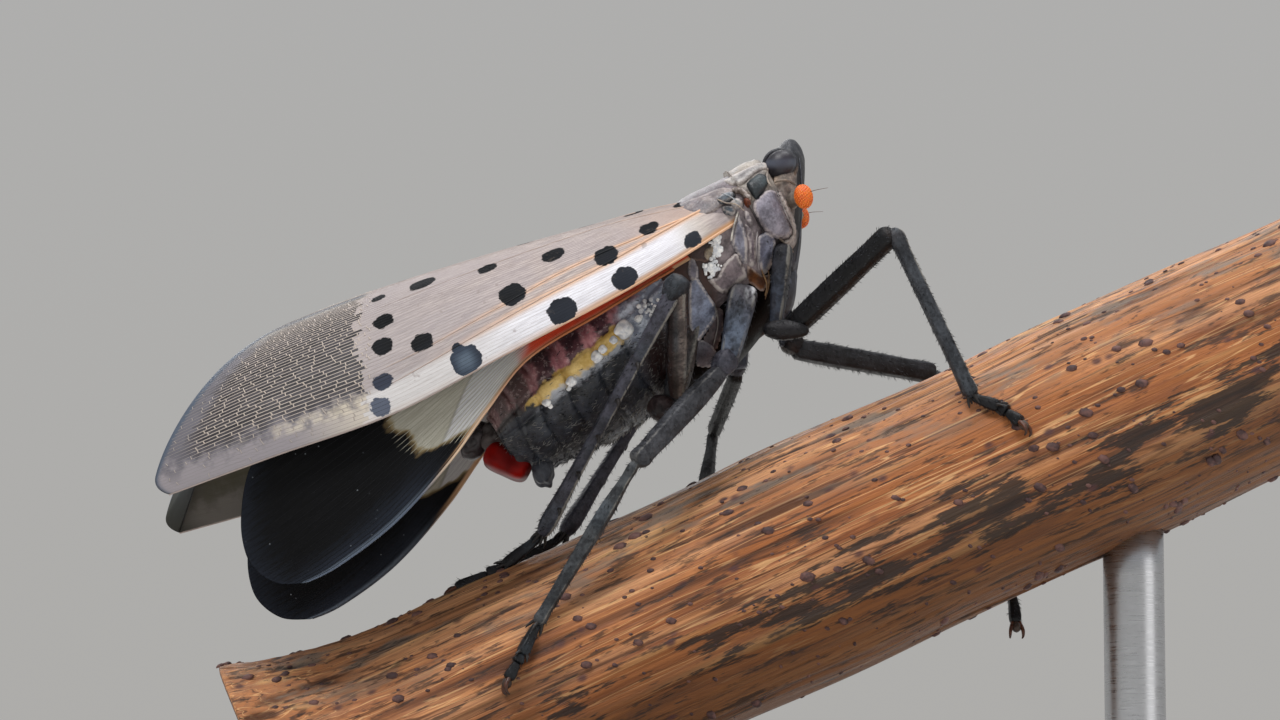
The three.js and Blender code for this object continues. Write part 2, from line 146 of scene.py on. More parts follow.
def keep_mark(mesh, mark, values):
    """Stores a number or a vector for each point of the mesh."""
    values = np.asarray(values, np.float32)
    kind, field = ("FLOAT", "value") if values.ndim == 1 else ("FLOAT_VECTOR", "vector")
    mesh.attributes.new(mark, kind, "POINT").data.foreach_set(field, values.ravel())


def piece(name, points, faces, material, marks=None, uv=None):
    """A mesh object from points in millimetres. marks are named numbers or vectors for each point."""
    mesh = bpy.data.meshes.new(name)
    mesh.from_pydata((np.asarray(points, float) * MM).tolist(), [], faces)
    if material:
        mesh.materials.append(material)
    mesh.polygons.foreach_set("use_smooth", [True] * len(mesh.polygons))
    for mark, values in (marks or {}).items():
        keep_mark(mesh, mark, values)
    if uv is not None:
        layer = mesh.uv_layers.new(name="OFBake")
        layer.data.foreach_set("uv", corner_uv(mesh, np.asarray(uv, float)).astype(np.float32).ravel())
    made = bpy.data.objects.new(name, mesh)
    bpy.context.scene.collection.objects.link(made)
    return made

# %% Lofts
def lattice(rows, columns):
    """Faces between rings of points, stored ring by ring."""
    i, j = np.meshgrid(np.arange(rows - 1), np.arange(columns), indexing="ij")
    a = (i * columns + j).ravel()
    b = (i * columns + (j + 1) % columns).ravel()
    return np.stack([a, b, b + columns, a + columns], 1).tolist()


def loft(rings):
    """Points and faces of a closed skin through rings of shape (rings, points, 3), with both ends closed."""
    count, sides = rings.shape[:2]
    points = np.concatenate([rings.reshape(-1, 3), [rings[0].mean(0), rings[-1].mean(0)]])
    faces = lattice(count, sides)
    low, high, last = len(points) - 2, len(points) - 1, (count - 1) * sides
    for k in range(sides):
        turn = (k + 1) % sides
        faces.append((low, turn, k))
        faces.append((high, last + k, last + turn))
    return points, outward(points, faces)


def outward(points, faces):
    """The faces, turned so that they look out of the body that they close."""
    corners = np.array([(face[0], face[k - 1], face[k]) for face in faces for k in range(2, len(face))])
    a, b, c = (points[corners[:, k]] - points.mean(0) for k in range(3))
    volume = np.einsum("ij,ij->i", a, np.cross(b, c)).sum()
    return faces if volume > 0 else [tuple(reversed(face)) for face in faces]


def ends(values, *caps):
    """Adds the values of the two end points to the values of a loft's rings."""
    values = np.asarray(values)
    low, high = caps if caps else (values[0].mean(0), values[-1].mean(0))
    return np.concatenate([values.reshape(-1, *values.shape[2:]), [low, high]])


def round_uv(along, around):
    """The UV map of a loft, with its two end points as poles."""
    along, around = np.broadcast_arrays(along, around)
    return ends(np.stack([along, around], -1), (0, np.nan), (1, np.nan))

# %% Bodies joined, and pieces handed over
def united(bodies):
    """Several bodies of points, faces and perhaps marks as one. All of them hold the same marks."""
    points, faces, marks, offset = [], [], {}, 0
    for body, skin, *own in bodies:
        points.append(body)
        faces += [tuple(int(k) + offset for k in face) for face in skin]
        offset += len(body)
        for mark, values in (own[0] if own else {}).items():
            marks.setdefault(mark, []).append(values)
    return np.concatenate(points), faces, {mark: np.concatenate(values) for mark, values in marks.items()}


def side_of(path):
    """Two directions square to each point of a path, which turn as little as they can along it."""
    tangent = unit(np.gradient(path, axis=0))
    across = np.cross(tangent[0], (0, 0, 1.0))
    if np.linalg.norm(across) < 0.1:
        across = np.array((0, 1.0, 0))
    first = np.zeros_like(path)
    for k, ahead in enumerate(tangent):
        across = unit(across - ahead * (across @ ahead))
        first[k] = across
    return tangent, first, np.cross(tangent, first)


def stand_for(made, slot, *nodes):
    """The piece rides on the model and stands for the CAD nodes, which are hidden. slot is not used."""
    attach(made, "root")
    if nodes:
        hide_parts(*nodes)
    print(f"{made.name}: {len(made.data.polygons)} faces")
    return made


def drop_marks(made, *names):
    """Deletes marks that only served to sow hairs or grains."""
    for name in names:
        made.data.attributes.remove(made.data.attributes[name])


print("shared tools are ready, with lengths in millimetres")

# %% [markdown]
# The camera stands where the photographer's did: level with the insect's feet, looking up by 8 degrees,
# square to its right side. A long lens keeps the shape true. Four soft lamps stand around, the brightest
# over the camera's left shoulder.

# %% Camera, floor and soft light
CAMERA = {"place": (-3.0, -178.248, 4.949), "tilt": 98, "lens": 153.39}

camera = bpy.data.objects.new("camera", bpy.data.cameras.new("camera"))
camera.data.lens = CAMERA["lens"]
camera.data.clip_start, camera.data.clip_end = 0.01, 20
camera.location = Vector(CAMERA["place"]) * MM
camera.rotation_euler = (math.radians(CAMERA["tilt"]), 0, 0)
bpy.context.scene.collection.objects.link(camera)
bpy.context.scene.camera = camera
bpy.context.scene.view_settings.view_transform = "Standard"


def softbox(name, place, size, power, warmth=1.0):
    """A square lamp at place, in metres, that faces the insect."""
    light = bpy.data.objects.new(name, bpy.data.lights.new(name, "AREA"))
    light.data.size = size
    light.data.energy = power
    light.data.color = (1, 0.5 + 0.5 * warmth, warmth)
    light.location = place
    aim = Vector((-0.003, 0, 0.03)) - light.location
    light.rotation_euler = aim.to_track_quat("-Z", "Y").to_euler()
    bpy.context.scene.collection.objects.link(light)
    return light


softbox("key", (-0.14, -0.22, 0.44), 0.16, 1.7)
softbox("top", (0.1, 0.04, 0.5), 0.22, 1.1)
softbox("front_fill", (0.42, -0.26, 0.12), 0.30, 0.3, 0.97)
softbox("back", (-0.12, 0.4, 0.3), 0.25, 0.7)

# %% [markdown]
# Finishes are node trees. This small helper adds a node in one call, so that each finish reads as a recipe.
# Colours are written as the eye sees them, in sRGB hex, and turned to Blender's linear light.

# %% A short way to write a node tree
def hue(text):
    """A colour in Blender's linear light, with full alpha, from its hex text."""
    parts = [int(text[k : k + 2], 16) / 255 for k in (0, 2, 4)]
    return [p / 12.92 if p <= 0.04045 else ((p + 0.055) / 1.055) ** 2.4 for p in parts] + [1.0]


def rgb(text, count=None):
    """The three numbers of a colour, or a row of them for each of count points."""
    colour = np.array(hue(text)[:3])
    return colour if count is None else np.broadcast_to(colour, (count, 3))


class Tree:
    """Adds nodes to a tree, each from one short call that returns an output. A colour is its hex text."""

    def __init__(self, tree):
        self.tree = tree

    def node(self, kind, inputs=(), **settings):
        made = self.tree.nodes.new(kind)
        for name, value in settings.items():
            setattr(made, name, value)
        for name, value in dict(inputs).items():
            self.feed(made.inputs[name], value)
        return made

    def feed(self, socket, value):
        if isinstance(value, bpy.types.NodeSocket):
            self.tree.links.new(value, socket)
        else:
            socket.default_value = hue(value) if socket.type == "RGBA" and isinstance(value, str) else value

    def drawn(self, vector, scale):
        return self.node("ShaderNodeMapping", {"Vector": vector, "Scale": scale}).outputs[0]

    def place(self, scale=(1, 1, 1)):
        """Object coordinates, stretched. A feature of the pattern is then about 1 / scale metres wide."""
        return self.drawn(self.node("ShaderNodeTexCoord").outputs["Object"], scale)

    def vector(self, *parts):
        return self.node("ShaderNodeCombineXYZ", dict(enumerate(parts))).outputs[0]

    def mark(self, name, output="Fac"):
        """A number, colour or vector that the mesh holds for each of its points."""
        return self.node("ShaderNodeAttribute", attribute_name=name).outputs[output]

    def noise(self, scale, detail, rough, vector=None, warp=0.0):
        values = {"Vector": vector or self.place(), "Scale": scale, "Detail": detail, "Roughness": rough,
                  "Distortion": warp}
        return self.node("ShaderNodeTexNoise", values).outputs[0]

    def cells(self, scale, vector=None):
        """How far a point is from the middle of its cell."""
        values = {"Vector": vector or self.place(), "Scale": scale}
        return self.node("ShaderNodeTexVoronoi", values).outputs["Distance"]

    def maths(self, kind, *values):
        return self.node("ShaderNodeMath", dict(enumerate(values)), operation=kind).outputs[0]

    def plus(self, a, b):
        return self.maths("ADD", a, b)

    def less(self, a, b):
        return self.maths("SUBTRACT", a, b)

    def times(self, first, *others):
        for other in others:
            first = self.maths("MULTIPLY", first, other)
        return first

    def off(self, a, b):
        """How far a is from b."""
        return self.maths("ABSOLUTE", self.less(a, b))

    def fit(self, value, low, high, start=0.0, end=1.0):
        """A soft step from start to end as value goes from low to high. Low may be the larger one."""
        if low > high:
            low, high, start, end = high, low, end, start
        values = {"Value": value, "From Min": low, "From Max": high, "To Min": start, "To Max": end}
        return self.node("ShaderNodeMapRange", values, interpolation_type="SMOOTHSTEP").outputs[0]

    def patchy(self, scale, detail, rough, *steps):
        """Noise in object coordinates, put through fit."""
        return self.fit(self.noise(scale, detail, rough), *steps)

    def mix(self, share, a, b, kind="MIX"):
        made = self.node("ShaderNodeMix", {0: share}, data_type="RGBA", blend_type=kind)
        self.feed(made.inputs[6], a)
        self.feed(made.inputs[7], b)
        return made.outputs[2]

    def over(self, colour, paint, *shares):
        """The paint over the colour, as thick as the product of the shares."""
        return self.mix(self.times(*shares), colour, paint)

    def bump(self, height, distance, strength):
        values = {"Height": height, "Distance": distance * MM, "Strength": strength}
        return self.node("ShaderNodeBump", values).outputs[0]

    def effect(self, group, **values):
        """A shared effect from the groups below."""
        made = self.node("ShaderNodeGroup", node_tree=group)
        for name, value in values.items():
            self.feed(made.inputs[name.replace("_", " ")], value)
        return made.outputs


def finish_named(name, recipe, **plain):
    """A material. The recipe returns the patterned sockets; plain ones are set straight on the shader."""
    material = bpy.data.materials.new(name)
    material.use_nodes = True
    material.node_tree.nodes.clear()
    tree = Tree(material.node_tree)
    shader = tree.node("ShaderNodeBsdfPrincipled", {k.replace("_", " "): v for k, v in plain.items()})
    for socket, value in recipe(tree).items():
        tree.feed(shader.inputs[socket.replace("_", " ")], value)
    out = tree.node("ShaderNodeOutputMaterial")
    material.node_tree.links.new(shader.outputs[0], out.inputs["Surface"])
    material.diffuse_color = (0.5, 0.5, 0.5, 1)
    return material

# %% [markdown]
# Three effects come back on many parts. Horny skin is never one even tone, but clouded at two sizes. Wax
# dust lies as specks on what faces up. Fibres run along wings and stem. Each is a node group, made once.

# %% Shared effects
def shared_effect(name, inputs, outputs, recipe):
    group = bpy.data.node_groups.new(name, "ShaderNodeTree")
    for label, kind, value in inputs:
        socket = group.interface.new_socket(label, in_out="INPUT", socket_type=kind)
        socket.default_value = value
    for label, kind in outputs:
        group.interface.new_socket(label, in_out="OUTPUT", socket_type=kind)
    tree = Tree(group)
    given = tree.node("NodeGroupInput").outputs
    made = recipe(tree, given)
    result = tree.node("NodeGroupOutput")
    for label, value in made.items():
        tree.feed(result.inputs[label], value)
    return group


NUMBER, COLOUR, VECTOR = "NodeSocketFloat", "NodeSocketColor", "NodeSocketVector"


def horn_recipe(tree, given):
    broad = tree.noise(given["Scale"], 4, 0.6)
    fine = tree.noise(tree.times(given["Scale"], 6.0), 3, 0.6)
    cloud = tree.plus(tree.times(broad, 0.65), tree.times(fine, 0.35))
    share = tree.fit(cloud, 0.36, 0.64)
    colour = tree.mix(share, given["Dark"], given["Pale"])
    return {"Color": colour, "Cloud": share, "Grain": fine}


horn_cloud = shared_effect(
    "clouded_horn",
    [("Scale", NUMBER, 3000.0), ("Dark", COLOUR, hue("202226")), ("Pale", COLOUR, hue("50525a"))],
    [("Color", COLOUR), ("Cloud", NUMBER), ("Grain", NUMBER)],
    horn_recipe,
)


def dust_recipe(tree, given):
    normal = tree.node("ShaderNodeNewGeometry").outputs["Normal"]
    up = tree.node("ShaderNodeSeparateXYZ", {0: normal}).outputs["Z"]
    facing = tree.fit(up, -0.2, 0.9)
    speck = tree.fit(tree.noise(given["Scale"], 5, 0.75), 0.5, 0.68)
    mask = tree.times(facing, speck, given["Amount"])
    return {"Mask": mask, "Color": tree.mix(mask, given["Color"], given["Dust"])}


wax_dust = shared_effect(
    "wax_dust",
    [("Color", COLOUR, hue("303236")), ("Dust", COLOUR, hue("c9ccd4")),
     ("Scale", NUMBER, 9000.0), ("Amount", NUMBER, 0.5)],
    [("Mask", NUMBER), ("Color", COLOUR)],
    dust_recipe,
)


def fibre_recipe(tree, given):
    coarse = tree.noise(1.0, 3, 0.6, given["Vector"], warp=0.2)
    finer = tree.node("ShaderNodeVectorMath", {0: given["Vector"], "Scale": 3.7}, operation="SCALE")
    fine = tree.noise(1.0, 2, 0.6, finer.outputs[0])
    both = tree.plus(tree.times(coarse, 0.6), tree.times(fine, 0.4))
    return {"Fibre": tree.fit(both, 0.38, 0.62), "Height": both}


fibres = shared_effect(
    "long_fibres",
    [("Vector", VECTOR, (0, 0, 0))],
    [("Fibre", NUMBER), ("Height", NUMBER)],
    fibre_recipe,
)
print("shared effects:", horn_cloud.name, wax_dust.name, fibres.name)

# %% [markdown]
# The floor is a wide pale disc, far larger than the stand, and it is left out of the object. The sky behind
# is a little bluer toward the top.

# %% Floor and surroundings
def pale_floor(tree):
    cloud = tree.noise(14, 3, 0.5)
    tone = tree.mix(cloud, "d9d7d2", "dfddd9")
    return {"Base_Color": tone, "Roughness": tree.fit(cloud, 0.3, 0.7, 0.6, 0.7)}


FLOOR = {"radius": 3000, "sides": 96}
turn = circle(FLOOR["sides"])
rim = np.stack([np.cos(turn), np.sin(turn), 0 * turn], 1) * FLOOR["radius"]
floor = piece("floor", rim, [tuple(range(FLOOR["sides"]))], finish_named("pale_floor", pale_floor))

world = bpy.data.worlds.new("studio")
world.use_nodes = True
bpy.context.scene.world = world
sky = Tree(world.node_tree)
background = world.node_tree.nodes["Background"]
direction = sky.node("ShaderNodeTexCoord").outputs["Generated"]
height = sky.node("ShaderNodeSeparateXYZ", {0: direction}).outputs["Z"]
sky.feed(background.inputs["Color"], sky.mix(sky.fit(height, -0.05, 0.7), "e8e6e2", "eef1f6"))
background.inputs["Strength"].default_value = 0.52
print("floor across, in metres:", 2 * FLOOR["radius"] * MM)

# %% [markdown]
# Two Geometry Nodes trees make nearly all that repeats. One turns drawn lines into thin ribs: the veins of
# the wings, the spines of the legs, the claws. The other sows a small shape over a skin: the hairs of the
# coat, the grains of wax, the specks on the stem. Both end in realized meshes, which are then plain pieces
# like all others.

# %% Tools for node trees of geometry
def geometry_tree(name, inputs):
    tree = bpy.data.node_groups.new(name, "GeometryNodeTree")
    tree.interface.new_socket("Geometry", in_out="INPUT", socket_type="NodeSocketGeometry")
    for label, kind in inputs:
        tree.interface.new_socket(label, in_out="INPUT", socket_type=kind)
    tree.interface.new_socket("Geometry", in_out="OUTPUT", socket_type="NodeSocketGeometry")
    return tree


def realized(make, geometry):
    return make.node("GeometryNodeRealizeInstances", {"Geometry": geometry}).outputs[0]


def painted(make, geometry, material):
    """The last step of a geometry tree: its material, then the way out."""
    values = {"Geometry": geometry, "Material": material}
    done = make.node("GeometryNodeSetMaterial", values).outputs[0]
    make.node("NodeGroupOutput", {"Geometry": done})
    return make.tree


def grown(base, tree, name, **values):
    """The base object run through a geometry tree with its inputs set, as a plain mesh object."""
    modifier = base.modifiers.new(tree.name, "NODES")
    modifier.node_group = tree
    for item in tree.interface.items_tree:
        if item.in_out == "INPUT" and item.name in values:
            modifier[item.identifier] = values[item.name]
    graph = bpy.context.evaluated_depsgraph_get()
    mesh = bpy.data.meshes.new_from_object(base.evaluated_get(graph))
    base.modifiers.remove(modifier)
    made = bpy.data.objects.new(name, mesh)
    mesh.name = name
    mesh.polygons.foreach_set("use_smooth", [True] * len(mesh.polygons))
    bpy.context.scene.collection.objects.link(made)
    return made

# %% Ribs along lines
def rib_tree():
    tree = geometry_tree("ribs_along_lines", [("Sides", "NodeSocketInt"), ("Material", "NodeSocketMaterial")])
    make = Tree(tree)
    given = make.node("NodeGroupInput").outputs
    girth = make.node("GeometryNodeInputNamedAttribute", {"Name": "girth"}, data_type="FLOAT").outputs[0]
    lines = make.node("GeometryNodeMeshToCurve", {"Mesh": given["Geometry"]}).outputs[0]
    round_one = {"Resolution": given["Sides"], "Radius": 1.0}
    ring = make.node("GeometryNodeCurvePrimitiveCircle", round_one).outputs[0]
    values = {"Curve": lines, "Profile Curve": ring, "Scale": girth, "Fill Caps": True}
    tubes = make.node("GeometryNodeCurveToMesh", values).outputs[0]
    return painted(make, realized(make, tubes), given["Material"])


RIBS = rib_tree()


def ribs(name, lines, girths, material, sides, marks):
    """Thin round ribs. lines are arrays of points and girths the radius at each, both in millimetres."""
    counts = [len(line) for line in lines]
    starts = np.concatenate([[0], np.cumsum(counts)[:-1]])
    edges = [(int(s) + k, int(s) + k + 1) for s, n in zip(starts, counts) for k in range(n - 1)]
    mesh = bpy.data.meshes.new(name + "_lines")
    mesh.from_pydata((np.concatenate(lines) * MM).tolist(), edges, [])
    wide = np.concatenate([np.broadcast_to(g, n) for g, n in zip(girths, counts)]) * MM
    keep_mark(mesh, "girth", wide)
    for mark, values in marks.items():
        keep_mark(mesh, mark, np.concatenate(values))
    base = bpy.data.objects.new(name + "_lines", mesh)
    bpy.context.scene.collection.objects.link(base)
    made = grown(base, RIBS, name, Sides=sides, Material=material)
    bpy.data.objects.remove(base)
    return made

# %% Small shapes sown over a skin
def sowing_tree():
    tree = geometry_tree(
        "sown_over_skin",
        [("Seed shape", "NodeSocketObject"), ("Density", "NodeSocketFloat"), ("Size", "NodeSocketFloat"),
         ("Variation", "NodeSocketFloat"), ("Jitter", "NodeSocketFloat"), ("Seed", "NodeSocketInt"),
         ("Material", "NodeSocketMaterial")],
    )
    make = Tree(tree)
    given = make.node("NodeGroupInput").outputs

    def held(name, kind="FLOAT"):
        return make.node("GeometryNodeInputNamedAttribute", {"Name": name}, data_type=kind).outputs[0]

    def chance(low, high, shift, kind="FLOAT"):
        seed = make.node("ShaderNodeMath", {0: given["Seed"], 1: float(shift)}, operation="ADD").outputs[0]
        made = make.node("FunctionNodeRandomValue", data_type=kind)
        vector = kind == "FLOAT_VECTOR"
        made.inputs[0 if vector else 2].default_value = (low,) * 3 if vector else low
        made.inputs[1 if vector else 3].default_value = (high,) * 3 if vector else high
        make.feed(made.inputs["Seed"], seed)
        return made.outputs[0 if vector else 1]

    def vectors(kind, a, b):
        key = "Scale" if kind == "SCALE" else 1
        return make.node("ShaderNodeVectorMath", {0: a, key: b}, operation=kind).outputs[0]

    density = make.times(given["Density"], held("thick"))
    sown = make.node("GeometryNodeDistributePointsOnFaces",
                     {"Mesh": given["Geometry"], "Density": density, "Seed": given["Seed"]})
    roots = make.node("GeometryNodeStoreNamedAttribute",
                      {"Geometry": sown.outputs[0], "Name": "root", "Value": held("OFBake", "FLOAT_VECTOR")},
                      data_type="FLOAT_VECTOR", domain="POINT").outputs[0]
    lean = vectors("ADD", held("lie", "FLOAT_VECTOR"),
                   vectors("SCALE", chance(-1, 1, 1, "FLOAT_VECTOR"), given["Jitter"]))
    turned = make.node("FunctionNodeAlignRotationToVector", {"Vector": lean}, axis="Z").outputs[0]
    spread = make.times(chance(-1, 1, 2), given["Variation"])
    size = make.times(given["Size"], make.plus(1.0, spread))
    values = {"Object": given["Seed shape"], "As Instance": False}
    shape = make.node("GeometryNodeObjectInfo", values).outputs["Geometry"]
    copies = make.node("GeometryNodeInstanceOnPoints",
                       {"Points": roots, "Instance": shape, "Rotation": turned, "Scale": size}).outputs[0]
    whole = realized(make, copies)
    within = vectors("SCALE", held("patch", "FLOAT_VECTOR"), 0.003)
    place = vectors("ADD", held("root", "FLOAT_VECTOR"), within)
    values = {"Geometry": whole, "Name": "OFBake", "Value": place}
    mapped = make.node("GeometryNodeStoreNamedAttribute", values, data_type="FLOAT2", domain="CORNER")
    return painted(make, mapped.outputs[0], given["Material"])


SOWING = sowing_tree()


def seed_shape(name, points, faces):
    """A small shape one unit long, which grows along its own Z from the origin."""
    points = np.asarray(points, float)
    spread = np.ptp(points, axis=0).max()
    patch = np.stack([points[:, 2], points[:, 0] - points[:, 0].min(), 0 * points[:, 0]], 1) / spread
    made = piece(name, points / MM, faces, None, {"patch": patch})
    made.hide_render = True
    return made


def sow(name, skin, shape, material, per_mm2, size, variation, jitter, seed):
    """Copies of a small shape over a skin. They stand thick where its mark thick is 1, and lean as lie says.
    Density is per square millimetre; size is a length, which variation changes by a share."""
    values = {"Seed shape": shape, "Density": per_mm2 / MM**2, "Size": size * MM, "Variation": variation,
              "Jitter": jitter, "Seed": SEED + seed, "Material": material}
    made = grown(skin, SOWING, name, **values)
    drop_marks(made, *[a.name for a in made.data.attributes if a.name in ("root", "patch", "thick", "lie")])
    return made


# A hair is a bent three-sided thorn, closed at its root, and a grain is a low rounded lump.
turn = np.arange(3) * 2 * math.pi / 3
ring = np.stack([np.cos(turn), np.sin(turn), 0 * turn], 1)
hair_points = np.concatenate([ring * 0.07, ring * 0.055 + (0.06, 0, 0.5), [(0.2, 0, 1.0)]])
hair_faces = [(0, 1, 4, 3), (1, 2, 5, 4), (2, 0, 3, 5), (3, 4, 6), (4, 5, 6), (5, 3, 6), (2, 1, 0)]
HAIR = seed_shape("hair_shape", hair_points, outward(hair_points, hair_faces))
turn = np.arange(8) * 2 * math.pi / 8
ring = np.stack([1.25 * np.cos(turn), 0.8 * np.sin(turn) + 0.1 * np.cos(3 * turn), 0 * turn], 1)
grain_rings = np.stack([ring * 0.62 - (0, 0, 0.15), ring * 0.5 + (0, 0, 0.1), ring * 0.3 + (0.05, 0, 0.24)])
grain_points, grain_faces = loft(grain_rings)
GRAIN = seed_shape("grain_shape", grain_points, grain_faces)
print("trees:", RIBS.name, SOWING.name, "- seeds:", HAIR.name, GRAIN.name)

# %% [markdown]
# The forewings, or tegmina, lie like a roof: steep sides that meet in a ridge over the back. The roof is
# worked out from three curves along the wing: half its width, its eave and its crest. A point of the wing
# is named by its share u from base to tip and v from the lower (costal) margin to the ridge. The solids of
# the model use the same rule.

# %% The roof and the shape of the wings
ROOF = {"base_x": -0.1, "base_z": 34.9, "tilt": math.radians(26)}
half_width = smooth((0, 2.7), (4, 4.4), (9, 5.5), (13.5, 5.9), (17, 5.75), (21, 4.6))
eave = smooth((0, -0.75), (4, -1.4), (9, -1.76), (13, -1.95), (17, -1.5), (21, -0.95))
crest = smooth((0, 0.75), (4, 1.5), (9, 2.35), (13.5, 2.9), (17, 3.0), (21, 2.8))
inner_margin = smooth((0, 1.9), (2, 1.1), (4.6, 0.12), (21, 0.12))
TEGMEN = {"length": 21, "slant": 7.6, "power": 1.45, "corner": 0.5, "corner_share": 0.12, "thick": 0.13,
          "rows": 230, "columns": 92, "crowd": 1.2}
SLIDE = {"right": 0.0, "left": 0.5}


def roof_point(along, height, y):
    back, down = math.cos(ROOF["tilt"]), math.sin(ROOF["tilt"])
    x = ROOF["base_x"] - along * back - height * down
    return np.stack([x, y + 0 * x, ROOF["base_z"] - along * down + height * back], -1)


def tegmen_end(v):
    """Millimetres from the base of the wing to its outer edge."""
    corner = np.maximum(0, 1 - v / TEGMEN["corner_share"])
    return TEGMEN["length"] - TEGMEN["slant"] * v ** TEGMEN["power"] - TEGMEN["corner"] * corner**2


def tegmen_point(which, u, v, lift):
    """A point of the forewing, lift millimetres out of its face, and how far along the wing it lies."""
    along = u * tegmen_end(v)
    turn = v * np.arccos(inner_margin(along) / half_width(along))
    rise = crest(along) - eave(along)
    across = half_width(along) * np.cos(turn) + lift * np.cos(turn)
    height = eave(along) + (rise + lift) * np.sin(turn)
    return roof_point(along + SLIDE[which], height, SIDES[which] * across), along

# %% [markdown]
# The hindwings are folded under the roof and show only below its eave. Each is drawn flat from its leading,
# inner and outer edge and then hung inside the roof, a little nearer to the body, so that the wings never
# touch.

# %% Shape of the hindwing
HINDWING_LEADING = [(2, -1.25), (5.2, -1.7), (8.2, -2.1), (10.2, -3.1), (12, -4.1), (14.4, -5.1),
                    (16.6, -5.55), (17.8, -5.55)]
HINDWING_OUTER = [(17.8, -5.55), (18.6, -5.15), (19.05, -4.45), (19.1, -3.7), (18.75, -2.7),
                  (17.9, -1.5), (16.6, -0.6)]
HINDWING_INNER = [(2.2, -0.5), (6, -0.1), (10, 0), (14, -0.1), (16.6, -0.6)]
HINDWING = {"inset": 0.65, "flare": 0.05, "thick": 0.1, "rows": 150, "columns": 70, "crowd": 1.0}


def hindwing_point(which, u, v, lift):
    """A point of the hindwing, and its place in the flat side view: along the wing and over its base line."""
    v = v[..., None]
    u_column = u[..., None]
    leading, inner = spline(HINDWING_LEADING, u), spline(HINDWING_INNER, u)
    straight = np.array(HINDWING_LEADING[-1]) * (1 - v) + np.array(HINDWING_INNER[-1]) * v
    flat = leading * (1 - v) + inner * v + (spline(HINDWING_OUTER, v[..., 0]) - straight) * u_column
    along, height = flat[..., 0], flat[..., 1]
    rise = np.clip((height - eave(along)) / (crest(along) - eave(along)), 0, 0.98)
    hang = np.maximum(0, eave(along) - height)
    wide = half_width(along) * np.sqrt(1 - rise**2) - HINDWING["inset"] + HINDWING["flare"] * hang + lift
    return roof_point(along + SLIDE[which], height, SIDES[which] * wide), flat

# %% [markdown]
# A wing is thinner than its own veins. A single sheet of faces would do for a picture, but it has no edge
# to look at, so an outer and an inner face are joined at the margins.

# %% A wing from its rule
def wing_sheet(name, which, size, point_at, marks_at, material):
    """A thin closed wing: its outer and then its inner face, one ring of points for each step to the tip."""
    shares = np.linspace(0, 1, size["columns"]) ** size["crowd"]
    u, v = np.meshgrid(np.linspace(0, 1, size["rows"]), shares, indexing="ij")
    over, flat = point_at(which, u, v, 0.0)
    under = point_at(which, u, v, -size["thick"])[0]
    rings = np.concatenate([over, under[:, ::-1]], 1)
    u, v, flat = (np.concatenate([part, part[:, ::-1]], 1) for part in (u, v, flat))
    marks = {mark: ends(values) for mark, values in marks_at(rings, u, v, flat).items()}
    uv = round_uv(u, np.arange(u.shape[1]) / u.shape[1])
    return piece(name, *loft(rings), material, marks, uv)


print("forewing:", TEGMEN["length"], "mm long, tilted by", round(math.degrees(ROOF["tilt"])), "degrees")

# %% [markdown]
# The spots of a lanternfly are a field mark, so each sits where it sits on the real wing. A spot is a
# distance: every point of the wing knows how far it lies from the nearest spot's edge. Thresholded in the
# material, that number gives a crisp edge however coarse the mesh is.

# %% Spots of the forewing
# Each spot: millimetres along the wing, share up its side, length and width in millimetres.
SPOTS = [
    (0.9, 0.20, 0.1, 0.1), (1.7, 0.11, 0.63, 0.5), (4.3, 0.08, 0.86, 0.72), (6.6, 0.07, 0.95, 0.84),
    (10.1, 0.062, 1.0, 0.96), (10.2, 0.135, 0.36, 0.3), (2.8, 0.45, 0.7, 0.62), (4.5, 0.30, 0.8, 0.8),
    (7.8, 0.29, 0.88, 0.86), (6.0, 0.475, 0.78, 0.72), (8.1, 0.56, 0.64, 0.58), (1.4, 0.85, 0.55, 0.6),
    (2.9, 0.88, 0.7, 0.55), (4.4, 0.87, 0.7, 0.55), (6.5, 0.85, 0.62, 0.5), (11.1, 0.24, 0.75, 0.64),
    (10.2, 0.64, 0.9, 0.84), (11.9, 0.445, 0.68, 0.68), (12.3, 0.305, 0.66, 0.68), (12.8, 0.143, 0.66, 0.54),
    (13.2, 0.043, 0.66, 0.6), (11.7, 0.652, 0.5, 0.5), (10.7, 0.86, 0.3, 0.3), (12.0, 0.88, 0.22, 0.24),
]
MAIN_VEINS = {  # millimetres along the wing and share up its side, girth at the base and at the end
    "shoulder_low": (
        [(0.6, 0.6), (1.8, 0.42), (3.2, 0.30), (4.5, 0.24), (6.3, 0.205), (9.3, 0.155), (12.6, 0.12)],
        0.06, 0.014),
    "shoulder_high": (
        [(1.4, 0.47), (2.8, 0.39), (3.8, 0.35), (5.9, 0.31), (8.1, 0.25), (10.6, 0.21), (12.5, 0.2)],
        0.045, 0.015),
    "ridge_side": (
        [(0.5, 0.75), (1.6, 0.72), (3.2, 0.69), (5.5, 0.63), (8.5, 0.58), (11.8, 0.55)], 0.032, 0.012),
    "claval": (
        [(0.6, 0.86), (2.0, 0.93), (4.0, 0.955), (7.0, 0.95), (10.5, 0.93), (12.0, 0.92)], 0.04, 0.018),
}
VEIN = {"rows": 58, "low": 0.012, "high": 0.975, "fine": 0.011, "net_row": 0.016, "net_bar": 0.029,
        "brick": 0.56, "step": 0.13}
VEIN["per_share"] = (VEIN["rows"] - 1) / (VEIN["high"] - VEIN["low"])
FAR = 9  # a mark that measures a distance holds this where nothing is near


def net_start(v):
    """Where along the wing the net of dark cells begins, at share v up its side."""
    return 13.65 - 2.2 * v

# %% [markdown]
# The finish has to know where on the wing a point lies. A painted image could tell it. Numbers on the mesh
# need no image and show no pixels up close.

